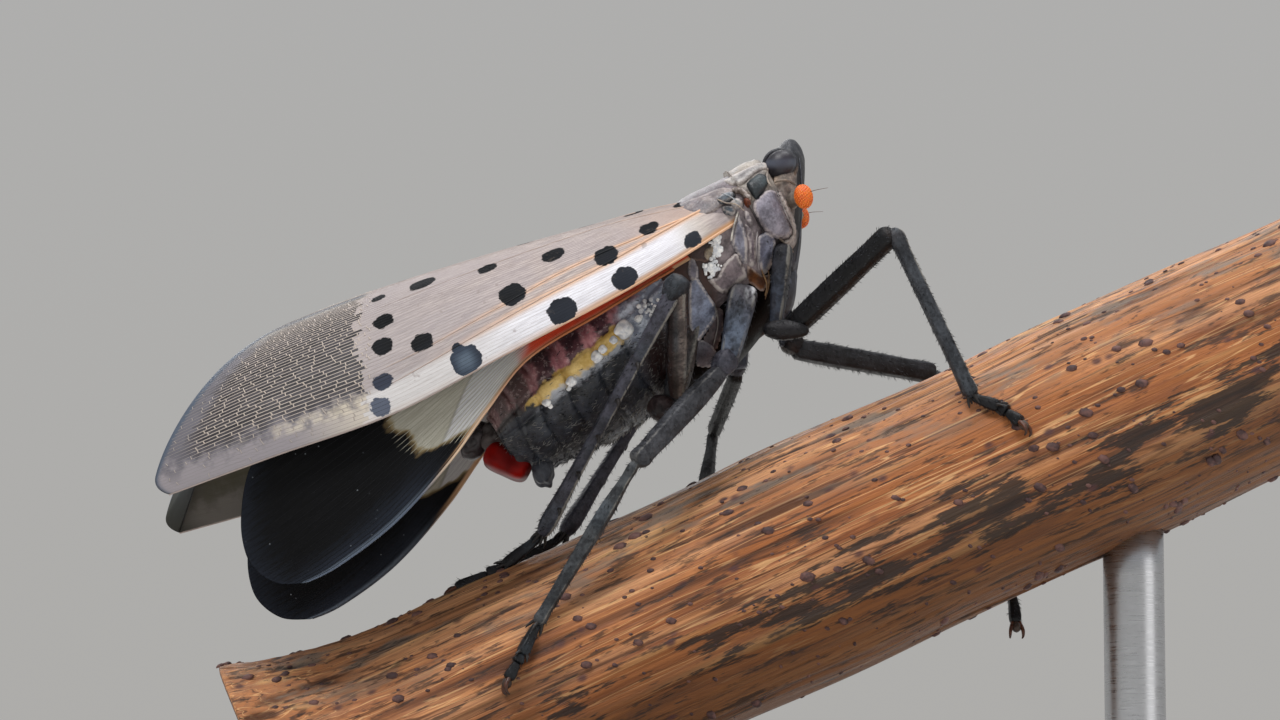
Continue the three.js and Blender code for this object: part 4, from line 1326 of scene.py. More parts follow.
# %% Pronotum
def collar_swell(station, turn):
    ridge = 0.03 * np.exp(-((np.cos(turn) / 0.05) ** 2)) * (np.sin(turn) > 0)
    hem = 0.035 * bump_at(station, 0.55, 0.25) + 0.025 * bump_at(station, 2.7, 0.25)
    return ridge + hem


points, faces, uv, station, turn = bare_trunk("pronotum", 70, 160, collar_swell)
marks = tinted(len(points), "9c9287")
blend(marks, step(wobble(points, 0.8, 22), 0.1, 0.8) * 0.5, "bdb4aa")
blend(marks, step(-np.sin(turn), -0.25, 0.1), "403a3c")
marks["rim"] = 0.7 * bump_at(station, 0.5, 0.22) * step(np.sin(turn), 0.1, 0.4)
stand_for(piece("pronotum_collar", points, faces, horn, marks, uv), "pronotum", "pronotum")

# %% [markdown]
# The head is a blunt wedge with a dented face. A ball pushed into shape would do, but a row of rings can be
# slid back by height, as the real face slopes.

# %% Head and face
# How far the face slopes back at each height.
FACE_BACK = smooth((31.2, 0.62), (32, 0.38), (32.75, 0.3), (33.8, 0.15), (34.66, 0.12), (35.9, 0.03),
                   (36.5, 0.01), (37.0, 0.02), (37.4, 0.07))


def face_swell(station, turn):
    front = step(station, 1.8, 3.2)
    side = np.abs(np.cos(turn))
    keel = 0.03 * bump_at(side, 0.0, 0.05) * front
    return keel - 0.05 * bump_at(side, 0.45, 0.16) * front


points, faces, uv, station, turn = bare_trunk("head", 90, 150, face_swell, FACE_BACK)
marks = tinted(len(points), "a09488")
height = points[:, 2]
blend(marks, bump_at(height, 35.1, 0.6) * 0.8, "c2b5ad")
blend(marks, step(wobble(points, 0.35, 25), 0.3, 0.8) * 0.5, "cfc3b8")
blend(marks, step(wobble(points, 0.3, 26), 0.4, 0.9) * 0.5, "6e5b50")
# Small patches of tint. The last, dark one under the antenna stalk is a painted shadow.
for x, z, size, tint in [(1.36, 35.76, 0.2, "c9b09a"), (1.76, 35.68, 0.14, "2c2624"),
                         (2.06, 35.62, 0.15, "cdbcb0"), (1.98, 34.8, 0.16, "54463e")]:
    away = np.hypot(points[:, 0] - x, (height - z) * 0.8)
    blend(marks, 0.85 * np.exp(-((away / size) ** 2)), tint)
blend(marks, step(station, 2.5, 3.2), "17181d")
blend(marks, step(height, 35.85, 36.2), "23252c")
blend(marks, step(34.0 - height, 0, 0.8) * 0.7, "4b4f5a")
blend(marks, step(wobble(points, 0.5, 23), 0.2, 0.9) * 0.45, "24252b")
marks["rim"] = 0.5 * bump_at(station, 2.9, 0.1) * step(36.4 - height, 0, 0.3)
stand_for(piece("head_capsule", points, faces, horn, marks, uv), "head", "head")

points, faces, uv, station, turn = bare_trunk("clypeus", 40, 60, None, FACE_BACK)
marks = tinted(len(points), "3a3d45")
blend(marks, step(wobble(points, 0.4, 24), 0.1, 0.8) * 0.6, "767c8b")
stand_for(piece("clypeus_shield", points, faces, horn, marks, uv), "head", "clypeus")

# %% [markdown]
# Every plate is a list of corners, in millimetres of the side view: x forward, z up. A ray from the side
# finds how far out the skin lies at each point of the plate.

# %% A plate from its outline
points, faces, _ = united(body_shapes)
SKIN = BVHTree.FromPolygons(points.tolist(), faces)
PLATE = {"pitch": 0.085, "edge": 0.07, "thick": 0.16, "bed": 0.08}


def skin_at(x, z, middle):
    """How far out the skin lies at x, z. A point beyond the outline of the body slides toward the middle."""
    for share in np.linspace(0, 1, 11):
        px, pz = x + (middle[0] - x) * share, z + (middle[1] - z) * share
        hit = SKIN.ray_cast(Vector((px, 9.0, pz)), Vector((0, -1, 0)))[0]
        if hit:
            return hit.y - share * 0.6
    return 1.0


def closed_curve(corners, pitch):
    """Evenly spaced points of a closed line whose corners are a little rounded."""
    corners = np.array(corners, float)
    after = np.roll(corners, -1, axis=0)
    soft = np.stack([corners + (after - corners) * share for share in (0.2, 0.8)], 1).reshape(-1, 2)
    knots = np.concatenate([soft[-1:], soft, soft[:2]])
    share = np.linspace(0, 1, 40 * len(knots))
    first, last = 1 / (len(knots) - 1), 1 - 1 / (len(knots) - 1)
    dense = spline(knots, share)[(share >= first) & (share <= last)]
    length = np.concatenate([[0], np.cumsum(np.linalg.norm(np.diff(dense, axis=0), axis=1))])
    count = max(int(length[-1] / pitch), 12)
    at = np.linspace(0, length[-1], count, endpoint=False)
    return np.stack([np.interp(at, length, dense[:, k]) for k in range(2)], 1)


def from_edge(points, loop):
    """Distance of each point from the closed line, and whether the point lies inside it."""
    a, b = loop[None], np.roll(loop, -1, 0)[None]
    p = points[:, None]
    span = b - a
    t = np.clip(((p - a) * span).sum(-1) / np.maximum((span**2).sum(-1), 1e-12), 0, 1)
    away = np.linalg.norm(p - a - t[..., None] * span, axis=-1).min(1)
    up = (a[..., 1] > p[..., 1]) != (b[..., 1] > p[..., 1])
    rise = np.where(np.abs(span[..., 1]) < 1e-9, 1e-9, span[..., 1])
    cross = a[..., 0] + (p[..., 1] - a[..., 1]) / rise * span[..., 0]
    inside = (up & (p[..., 0] < cross)).sum(1) % 2 == 1
    return away, inside


def plate(corners, lift, dome, rim, tint, seam, wax, second):
    """One plate for the left side: points, faces and marks. lift raises it and dome swells its middle. The
    two faces of a plate meet at its edge, a little under the skin."""
    loop = closed_curve(corners, PLATE["edge"])
    low, high = loop.min(0), loop.max(0)
    grid = np.stack(np.meshgrid(np.arange(low[0], high[0], PLATE["pitch"]),
                                np.arange(low[1], high[1], PLATE["pitch"]), indexing="ij"), -1)
    grid[1::2, :, 1] += PLATE["pitch"] / 2
    grid = grid.reshape(-1, 2)
    away, inside = from_edge(grid, loop)
    inner = grid[inside & (away > PLATE["pitch"] * 0.55)]
    flat = [Vector(p) for p in np.concatenate([loop, inner])]
    bounds = [(k, (k + 1) % len(loop)) for k in range(len(loop))]
    filled = geometry.delaunay_2d_cdt(flat, bounds, [], 1, 1e-6)
    flat, triangles = np.array([tuple(p) for p in filled[0]]), filled[2]
    away, _ = from_edge(flat, loop)
    middle = loop.mean(0)
    base = np.array([skin_at(x, z, middle) for x, z in flat])
    raised = step(away, 0.0, 0.1)
    crown = 1 - np.exp(-((away / (0.35 * np.ptp(loop, axis=0).min() + 0.05)) ** 2))
    bed = PLATE["bed"]
    y = base - bed + raised * (lift + bed) + dome * crown + 0.04 * bump_at(away, 0.1, 0.05) * rim
    top = np.stack([flat[:, 0], y, flat[:, 1]], 1)
    bottom = top.copy()
    bottom[:, 1] = base - bed - PLATE["thick"] * raised
    n = len(flat)
    twin = np.arange(n) + np.where(away < 1e-4, 0, n)
    faces = [tuple(t) for t in triangles]
    faces += [tuple(int(twin[k]) for k in reversed(t)) for t in triangles]
    points = np.concatenate([top, bottom])
    marks = tinted(2 * n, tint, wax=wax)
    double = np.concatenate([away, away])
    marks["rim"] = rim * bump_at(double, 0.08, 0.06)
    blend(marks, step(wobble(points, 0.7, 30), -0.2, 0.6), second)
    blend(marks, seam * step(0.17 - double, 0, 0.1), "8a6446")
    return points, faces, marks


def compact(points, faces, marks):
    """Drops points that no face uses."""
    used = np.unique(np.concatenate([np.array(face) for face in faces]))
    place = np.full(len(points), -1)
    place[used] = np.arange(len(used))
    faces = [tuple(int(place[k]) for k in face) for face in faces]
    return points[used], outward(points[used], faces), {name: value[used] for name, value in marks.items()}


def both_sides(name, parts, slot, *nodes):
    """Joins bodies and their mirror images across the middle in one piece."""
    bodies = []
    for side in SIDES.values():
        for points, faces, marks in parts:
            faces = faces if side > 0 else [tuple(reversed(face)) for face in faces]
            bodies.append((points * (1, side, 1), faces, marks))
    points, faces, marks = united(bodies)
    return stand_for(piece(name, points, faces, horn, marks), slot, *nodes)

# %% Plates of the side, back to front
PLATES = [  # corners, lift, dome, rim, tint, seam, wax, second tint
    ([(-2.3, 34.3), (-1.9, 34.9), (-1.0, 35.2), (-0.3, 35.5), (0.2, 35.3), (-0.3, 34.6), (-1.2, 34.1)],
     0.02, 0.06, 0.5, "837a7d", 0.2, 0.1, "9a8f8c"),
    ([(-1.6, 33.9), (-0.9, 34.35), (-0.3, 34.2), (-0.35, 33.3), (-0.8, 32.7), (-1.5, 32.9)],
     0.0, 0.03, 0.3, "43312f", 0.3, 0.15, "5a3324"),
    ([(-1.42, 33.07), (-1.2, 32.95), (-1.05, 32.6), (-1.05, 32.25), (-1.35, 32.1), (-1.5, 32.5)],
     0.05, 0.05, 0.8, "7b7681", 0.0, 0.2, "8f8b98"),
    ([(-0.66, 31.62), (-0.36, 31.55), (-0.16, 31.3), (-0.2, 30.7), (-0.42, 30.0), (-0.85, 29.95),
      (-1.1, 30.3), (-0.75, 30.9)], 0.0, 0.04, 0.4, "4b3d40", 0.2, 0.05, "665757"),
    ([(-1.3, 30.35), (-0.94, 30.45), (-0.55, 30.25), (-0.4, 29.9), (-0.55, 29.5), (-1.25, 29.5)],
     0.03, 0.05, 0.6, "5c5963", 0.0, 0.15, "7a7781"),
    ([(-1.45, 32.2), (-1.15, 32.4), (-0.95, 32.11), (-0.75, 31.83), (-0.52, 31.55), (-0.42, 31.27),
      (-0.58, 30.9), (-0.85, 30.55), (-1.11, 30.2), (-1.33, 30.2), (-1.42, 30.7), (-1.45, 31.3)],
     0.14, 0.07, 0.9, "767c90", 0.0, 0.12, "8992a8"),
    ([(0.45, 32.9), (0.68, 32.8), (0.96, 32.65), (1.2, 32.7), (1.38, 32.75), (1.3, 32.35), (1.05, 31.95),
      (0.75, 32.1), (0.45, 32.35)], 0.02, 0.04, 0.5, "7d4a24", 0.5, 0.05, "5a3520"),
    ([(0.8, 33.7), (0.95, 33.9), (1.2, 33.95), (1.42, 33.8), (1.52, 33.5), (1.45, 33.15), (1.28, 32.8),
      (1.1, 32.55), (0.95, 32.65), (0.82, 33.05)], 0.08, 0.06, 0.9, "9294a8", 0.0, 0.15, "7d7e90"),
    ([(0.33, 34.2), (0.52, 34.15), (0.76, 33.9), (0.86, 33.5), (0.84, 33.0), (0.68, 32.66), (0.48, 32.8),
      (0.5, 33.34), (0.44, 33.82)], 0.05, 0.05, 0.8, "6c5f69", 0.1, 0.05, "83767f"),
    ([(0.21, 34.62), (0.36, 34.2), (0.5, 33.8), (0.56, 33.32), (0.54, 32.8), (0.3, 32.82), (0.06, 33.2),
      (-0.06, 33.44), (0.02, 33.88), (0.1, 34.3)], 0.1, 0.05, 1.0, "8a8a99", 0.0, 0.1, "767483"),
    ([(0.36, 34.6), (0.56, 34.6), (0.7, 34.32), (0.76, 33.95), (0.56, 34.0), (0.38, 34.25)],
     0.07, 0.04, 0.8, "958c94", 0.1, 0.05, "7d7379"),
    ([(-0.95, 33.24), (-0.63, 33.5), (-0.42, 33.44), (-0.55, 33.08), (-0.75, 32.8), (-0.95, 32.95)],
     0.08, 0.05, 0.4, "a3957f", 0.2, 0.2, "bdb19c"),
    ([(-0.3, 32.81), (0, 33.1), (0.18, 33.25), (0.32, 32.95), (0.5, 32.59), (0.55, 32.4), (0.32, 32.28),
      (0.1, 32.05), (-0.16, 31.84), (-0.42, 31.87), (-0.7, 32.1), (-0.86, 32.3), (-0.5, 32.38),
      (-0.42, 32.59)], 0.16, 0.06, 1.1, "7b6e72", 0.2, 0.12, "918589"),
    ([(1.15, 35.35), (1.46, 35.36), (1.58, 35.07), (1.76, 34.63), (1.95, 34.25), (2.05, 34.05), (1.93, 33.82),
      (1.67, 33.71), (1.38, 33.7), (1.08, 33.88), (0.86, 34.17), (0.69, 34.5), (0.66, 34.82), (0.84, 35.05)],
     0.13, 0.08, 0.6, "918d99", 0.3, 0.02, "a39eaa"),
    ([(1.45, 35.42), (1.64, 35.42), (1.92, 34.95), (2.11, 34.5), (2.2, 34.13), (2.2, 33.78), (2.04, 33.52),
      (1.76, 33.5), (1.58, 33.66), (1.94, 33.87), (2.0, 34.1), (1.7, 34.7)],
     0.15, 0.04, 0.6, "b9ada8", 0.2, 0.05, "cdc2b9"),
    ([(0.91, 35.95), (1.24, 35.83), (1.22, 35.5), (1.1, 35.24), (0.8, 34.88), (0.6, 35.1), (0.42, 35.5)],
     0.17, 0.03, 0.1, "2d3539", 0.0, 0.0, "3d484c"),
    ([(-0.36, 35.72), (0.35, 36.05), (1.13, 36.5), (1.28, 36.12), (0.92, 35.95), (0.52, 35.56), (0.3, 35.4),
      (-0.04, 35.42)], 0.1, 0.07, 0.6, "b1ada9", 0.3, 0.05, "c7c2bd"),
    ([(-0.55, 34.95), (-0.26, 35.2), (0.01, 35.26), (0.18, 35.08), (-0.07, 34.82), (-0.35, 34.7)],
     0.28, 0.06, 0.7, "45525d", 0.0, 0.15, "67747f"),
    ([(-0.12, 34.85), (0.17, 35.05), (0.42, 34.88), (0.33, 34.58), (0.03, 34.5)],
     0.3, 0.06, 0.9, "7e838d", 0.2, 0.2, "b3aca3"),
    ([(-0.38, 34.72), (0.01, 34.75), (0.2, 34.55), (0.08, 34.32), (-0.28, 34.38)],
     0.22, 0.05, 0.7, "4a5560", 0.0, 0.1, "333b43"),
    ([(0.0, 35.42), (0.37, 35.38), (0.64, 35.15), (0.72, 34.85), (0.5, 34.86), (0.29, 35.1), (-0.02, 35.16)],
     0.18, 0.04, 0.8, "978a7e", 0.4, 0.1, "7d7268"),
    ([(0.36, 35.05), (0.56, 35.05), (0.68, 34.76), (0.52, 34.62), (0.36, 34.8)],
     0.24, 0.04, 0.2, "7a3c20", 0.0, 0.0, "5a2c1a"),
]
parts = [compact(*plate(*row)) for row in PLATES]
both_sides("side_plates", parts, "thorax", "tegula_right", "tegula_left")

# %% [markdown]
# Fine ridges draw the face and the folds between the plates. They are ribs too.

# %% Ridges of head and thorax
def on_skin(line, lift):
    """A line drawn in the side view, laid on the skin of the left side."""
    path = spline(line, np.linspace(0, 1, 8 * len(line)))
    middle = (path.mean(0) + (0.0, 34.0)) / 2
    return np.array([(x, skin_at(x, z, middle) + lift, z) for x, z in path])


RIDGES = [  # line in the side view, lift, girth, tint
    ([(1.46, 35.3), (1.6, 34.95), (1.8, 34.5), (2.0, 34.15)], 0.2, 0.022, "b9b2b0"),
    ([(0.2, 34.5), (0.04, 33.9), (-0.04, 33.5)], 0.15, 0.035, "c9c4ba"),
    ([(-0.5, 34.9), (-0.2, 34.75), (0.1, 34.72), (0.4, 34.5)], 0.34, 0.03, "b7a796"),
    ([(-0.35, 35.1), (-0.1, 35.0), (0.2, 34.8)], 0.36, 0.02, "9fa4a8"),
    ([(0.84, 33.9), (0.8, 33.4), (0.9, 32.7)], 0.12, 0.025, "a7a0a0"),
    ([(0.98, 32.75), (1.16, 32.3), (1.1, 31.9)], 0.1, 0.03, "a8835c"),
    ([(1.2, 32.8), (1.24, 32.35), (1.1, 31.8)], 0.12, 0.03, "8c6a48"),
    ([(-0.55, 31.5), (-0.45, 30.9), (-0.6, 30.2)], 0.12, 0.025, "8f8780"),
    ([(2.26, 36.6), (2.31, 35.9), (2.33, 35.0), (2.26, 34.0), (2.14, 33.2)], 0.02, 0.03, "5b5e68"),
    ([(1.2, 36.1), (1.16, 35.7), (1.3, 35.42)], 0.1, 0.035, "a79a8e"),
    ([(1.42, 35.66), (1.8, 35.72), (2.14, 35.6)], 0.12, 0.045, "8e7f72"),
    ([(1.55, 33.75), (1.8, 33.6), (2.06, 33.45)], 0.1, 0.04, "8d7f70"),
]
for which, side in SIDES.items():
    lines, girths, tints = [], [], []
    for line, lift, girth, tint in RIDGES:
        path = on_skin(line, lift) * (1, side, 1)
        lines.append(path)
        share = np.linspace(-1, 1, len(path))
        girths.append(girth * (1 - 0.7 * share**4))
        tints.append(rgb(tint, len(path)))
    stand_for(ribs(f"ridges_{which}", lines, girths, horn, 6, {"tint": tints}), "thorax")

# %% [markdown]
# A compound eye is a dome of tiny lenses. As mesh they would cost thousands of faces, so they are a bump of
# small cells on a stretched ball, with a raised orbit round it. A lighter band across its middle is a painted
# highlight.

# %% Eyes
def blob(centre, axes, rows, columns, shift=None):
    """Points, faces and UV map of a ball stretched by three axis vectors, and its points on the plain ball.
    shift grows it by a share."""
    polar, turn = np.meshgrid(np.linspace(0.02, math.pi - 0.02, rows), circle(columns), indexing="ij")
    ball = np.stack([np.sin(polar) * np.cos(turn), np.sin(polar) * np.sin(turn), np.cos(polar)], -1)
    grow = 1 + (shift(ball) if shift else 0)
    rings = np.array(centre) + (ball * np.asarray(grow)[..., None]) @ np.array(axes, float)
    return *loft(rings), round_uv(polar / math.pi, turn / (2 * math.pi)), ends(ball)


def eye_finish(tree):
    depth = tree.noise(900, 2, 0.5)
    # Painted highlight: a lighter blue-grey band across the middle of the eye.
    band = tree.off(tree.mark("crown"), 0.06)
    tone = tree.mix(tree.fit(band, 0.45, 0.05), "1d1c22", "484d59")
    tone = tree.over(tone, "2a2230", tree.fit(depth, 0.4, 0.7, 0, 0.5))
    return {"Base_Color": tone, "Normal": tree.bump(tree.cells(11500), 0.008, 0.35)}


eye_skin = finish_named("eye", eye_finish, Roughness=0.46, Specular_IOR_Level=0.45)
EYE = {"place": (1.63, 1.36, 36.3), "axes": [(0.52, 0.0, 0.02), (0.0, 0.44, -0.05), (0.04, 0.05, 0.49)]}
for which, side in SIDES.items():
    mirror = np.array([1, side, 1])
    points, faces, uv, ball = blob(EYE["place"] * mirror, EYE["axes"] * mirror, 60, 80)
    eye = piece(f"eyeball_{which}", points, faces, eye_skin, {"crown": ball[:, 2]}, uv)
    stand_for(eye, "eye", f"eye_{which}")
    turn = np.linspace(0, 2 * math.pi, 49)
    orbit = np.stack([1.62 + 0.53 * np.cos(turn), 1.34 + 0 * turn, 36.28 + 0.51 * np.sin(turn)], 1) * mirror
    low = step(-np.sin(turn), -0.2, 0.6)[:, None]
    tint = rgb("2f3037") * (1 - low) + rgb("7b6a5c") * low
    stand_for(ribs(f"orbit_{which}", [orbit], [np.full(49, 0.075)], horn, 10, {"tint": [tint]}), "head")

# %% [markdown]
# Below the eye sits the antenna: a grey stalk, an orange bulb set with hundreds of round sense plates, and
# a bristle so thin that it is easily missed. The plates are true bumps, because they show in the outline,
# and they are spread by the golden angle, as seeds are in a flower.

# %% Antennae
ANTENNA = {"root": (1.86, 1.2, 35.12), "bulb": (2.36, 1.98, 35.13), "radius": 0.3, "plates": 230,
           "high": 0.055, "whip": [(2.5, 2.1, 35.25), (2.8, 2.2, 35.32), (3.15, 2.35, 35.36)]}


def sense_plates(ball):
    """Low round bumps spread evenly over a ball by the golden angle."""
    k = np.arange(ANTENNA["plates"])
    z = 1 - (2 * k + 1) / ANTENNA["plates"]
    turn = k * math.pi * (3 - math.sqrt(5))
    flat = np.sqrt(1 - z**2)
    places = np.stack([flat * np.cos(turn), flat * np.sin(turn), z], 1)
    nearest = (ball.reshape(-1, 3) @ places.T).max(1).reshape(ball.shape[:-1])
    away = np.arccos(np.clip(nearest, -1, 1))
    return ANTENNA["high"] * step(0.105 - away, 0, 0.05)


def antenna_finish(tree):
    cloud = tree.noise(3500, 3, 0.6)
    tone = tree.mix(tree.fit(cloud, 0.35, 0.65), "c24a04", "dd6a0e")
    tone = tree.over(tone, "ef8c2c", tree.mark("plate"), 0.4)
    return {"Base_Color": tone}


bulb_skin = finish_named("antenna_bulb", antenna_finish, Roughness=0.42, Subsurface_Weight=0.25,
                         Subsurface_Scale=0.0004)
for which, side in SIDES.items():
    mirror = np.array([1, side, 1])
    across = ANTENNA["radius"]
    axes = np.array([(across, 0, 0), (0, across, 0), (-0.03, 0, across * 1.3)])
    points, faces, uv, ball = blob(ANTENNA["bulb"] * mirror, axes, 110, 150, sense_plates)
    raised = sense_plates(ball / np.maximum(np.linalg.norm(ball, axis=1, keepdims=True), 1e-6))
    marks = {"plate": raised / ANTENNA["high"]}
    bulb = piece(f"antenna_bulb_{which}", points, faces, bulb_skin, marks, uv)
    stand_for(bulb, "antenna", f"antenna_{which}")
    share, fine_share = np.linspace(0, 1, 16), np.linspace(0, 1, 24)
    stalk = np.linspace(ANTENNA["root"] * mirror, ANTENNA["bulb"] * mirror, 16)
    lines = [stalk, spline(ANTENNA["whip"] * mirror, fine_share)]
    girths = [0.25 + 0.09 * bump_at(share, 0.12, 0.16), 0.014 - 0.009 * fine_share]
    tints = [rgb("8d8276", 16), rgb("6a4a38", 24)]
    stand_for(ribs(f"antenna_stalk_{which}", lines, girths, horn, 16, {"tint": tints}), "antenna")

# %% [markdown]
# At the tail hang a deep red lobe, dark lobes beside it and the horny tube above. Each is a ball, pushed
# into a cushion by a rule of its own.

# %% Lobes and plates of the tail
def lobe_finish(tree):
    cloud = tree.noise(700, 3, 0.5)
    tone = tree.mix(tree.fit(cloud, 0.4, 0.64), "560403", "8e0d05")
    tone = tree.over(tone, "280404", tree.fit(tree.mark("crown"), 0.1, 0.8))
    return {"Base_Color": tone, "Normal": tree.bump(tree.noise(3000, 3, 0.5), 0.02, 0.5)}


lobe_skin = finish_named("red_lobe", lobe_finish, Roughness=0.5, Specular_IOR_Level=0.1)


def leaned(half, lean):
    """Axis vectors of a ball of the given half sizes, leaned in the side view."""
    c, s = math.cos(math.radians(lean)), math.sin(math.radians(lean))
    return np.array([(c * half[0], 0, s * half[0]), (0, half[1], 0), (-s * half[2], 0, c * half[2])])


def lobed(ball):
    """Turns a ball into a cushion with dents."""
    square = (np.abs(ball) ** 4).sum(-1) ** -0.25
    return square - 1 + 0.04 * np.sin(5 * ball[..., 0] + 2) * np.cos(4 * ball[..., 1])


points, faces, uv, ball = blob((-7.34, 0, 26.64), leaned((0.8, 0.9, 0.5), -24), 70, 90, lobed)
stand_for(piece("red_lobe", points, faces, lobe_skin, {"crown": ball[:, 2]}, uv), "genital", "genital_lobe")


def ragged(ball):
    return 0.1 * wobble(ball * 1.2, 1.1, 41)


parts = []
for place, half, lean, tint in [((-8.42, 0, 27.32), (0.64, 0.6, 0.46), 60, "3a3335"),
                                ((-6.18, 0.55, 26.28), (0.34, 0.4, 0.48), 10, "3f434c"),
                                ((-6.62, 0.3, 26.95), (0.75, 1.0, 0.5), 30, "2c2b30"),
                                ((-7.7, 0.35, 27.45), (0.6, 0.6, 0.5), 40, "3d3230")]:
    points, faces, uv, ball = blob(place, leaned(half, lean), 40, 56, ragged)
    parts.append((points, faces, tinted(len(points), tint, wax=0.1)))
both_sides("tail_plates", parts, "abdomen", "anal_lobe")

# %% [markdown]
# Under the head the beak runs back between the legs. It is one rib that thins to its tip.

# %% Beak
BEAK = [(2.05, 31.35), (1.75, 31.3), (1.2, 31.2), (0.2, 30.4), (-1.5, 28.9)]
share = np.linspace(0, 1, 60)
path = spline(BEAK, share)
path = np.stack([path[:, 0], 0 * share, path[:, 1]], 1)
girth = 0.34 - 0.16 * share - 0.05 * step(share, 0.9, 1) + 0.03 * bump_at(share, 0.5, 0.02)
tints = [rgb("141316") + np.outer(share, rgb("4a3426") * 0.4)]
stand_for(ribs("beak", [path], [girth], horn, 20, {"tint": tints}), "leg", "rostrum")

# %% [markdown]
# The wax is a soft white crust of grains and threads. It gathers in the fold behind the wing base and wells
# up as round drops from the pores along the yellow band. Thin dust is left to the finishes, and only what
# stands out is mesh.

# %% Wax
def wax_finish(tree):
    cloud = tree.noise(5000, 3, 0.6)
    return {"Base_Color": tree.mix(tree.fit(cloud, 0.35, 0.65), "c4c6cc", "f3f2f0")}


wax_skin = finish_named("wax", wax_finish, Roughness=0.75, Specular_IOR_Level=0.25)
WAX_DROPS = [  # x, z, radius
    (-3.5, 30.55, 0.3), (-3.85, 30.2, 0.13), (-4.4, 29.68, 0.2), (-4.2, 29.9, 0.14), (-5.22, 28.88, 0.17),
    (-5.32, 28.7, 0.1), (-6.03, 28.24, 0.14), (-5.9, 28.1, 0.08), (-3.05, 30.9, 0.12),
]
WAX_CRUST = [  # x, z, half width, half height, grains
    (-0.5, 33.3, 0.22, 0.36, 90), (-0.66, 32.6, 0.24, 0.24, 70), (-2.7, 31.2, 0.3, 0.4, 30),
    (-1.95, 31.7, 0.12, 0.3, 12),
]


def uneven(ball):
    return 0.16 * wobble(ball, 1.3, 50)


rng = np.random.default_rng(SEED)
bodies = []
for x, z, radius in WAX_DROPS:
    for side in SIDES.values():
        y = (skin_at(x, z, (-4, 29.5)) + radius * 0.25) * side
        bodies.append(blob((x, y, z), np.eye(3) * radius, 20, 26, uneven)[:2])
for x, z, wide, tall, count in WAX_CRUST:
    for side in SIDES.values():
        for _ in range(count):
            px, pz = x + rng.normal() * wide * 0.5, z + rng.normal() * tall * 0.5
            radius = rng.uniform(0.03, 0.085)
            y = (skin_at(px, pz, (-1.5, 32.5)) + 0.05) * side
            bodies.append(blob((px, y, pz), np.eye(3) * radius * (1, 0.8, 1), 8, 10)[:2])
points, faces, _ = united(bodies)
stand_for(piece("wax", points, faces, wax_skin), "abdomen")

# %% [markdown]
# Six legs stand on the stem, each with coxa, trochanter, femur, tibia and a foot of three joints with two
# claws. The joints of the skeleton are listed as corners of a path. Every stretch between two of them is a
# loft of its own, a little sunk into the next, as the plates of a leg are.

# %% Skeleton of the legs
LEGS = {  # coxa, trochanter, knee, ankle, instep, toe
    "front_right": [(1.72, -1.75, 33.6), (1.44, -1.7, 30.85), (5.2, -4.3, 33.6), (7.76, -3.45, 28.3),
                    (8.63, -3.75, 27.95), (9.28, -4.05, 27.4)],
    "front_left": [(1.7, 1.75, 33.6), (1.83, 1.6, 30.65), (6.95, 3.75, 30.05), (9.2, 4.4, 25),
                   (9.37, 3.4, 23.1), (9.5, 2.5, 21.5)],
    "mid_right": [(0.44, -2.3, 32.15), (-0.12, -2.3, 29.6), (-3.15, -4.5, 26.02), (-6.31, -3.8, 20.89),
                  (-6.8, -4.1, 19.9), (-7.22, -4.2, 19.1)],
    "mid_left": [(0.16, 2.3, 32.07), (0.3, 2.3, 30.0), (-0.5, 6.4, 28.4), (-1.32, 4.4, 22.46),
                 (-1.5, 4.25, 21.5), (-1.66, 4.2, 20.6)],
    "hind_right": [(-1.3, -1.8, 31.4), (-1.95, -1.7, 28.2), (-1.82, -4.9, 31.72), (-6.24, -0.95, 24.05),
                   (-7.5, -0.8, 23.05), (-9.05, -0.65, 22.35)],
    "hind_left": [(-1.3, 1.8, 31.4), (-1.8, 1.7, 28.6), (-0.66, 4.6, 32.65), (-5.56, 1.95, 24.35),
                  (-6.9, 1.85, 23.5), (-8.04, 1.75, 22.95)],
}
LEGS = {name: np.array(corners, float) for name, corners in LEGS.items()}
GIRTHS = {  # coxa, femur, tibia, foot
    "front": (0.34, 0.35, 0.26, 0.2), "mid": (0.4, 0.36, 0.26, 0.19), "hind": (0.44, 0.42, 0.3, 0.2)}
FLATNESS = {"front": 0.8, "mid": 1.0, "hind": 1.0}  # one width of the coxa as a share of the other
LEG_TINTS = {  # coxa, its upper end, trochanter, femur, tibia, foot
    "front": ("3a3f4b", "2b2a2f", "1d1b1e", "0d0d10", "43474d", "141417"),
    "mid": ("616b7d", "463a3c", "45454f", "44454a", "46494c", "17181b"),
    "hind": ("4d4a4b", "4a3c38", "3d3a3c", "4a4340", "4b4b56", "1a1a1f"),
}
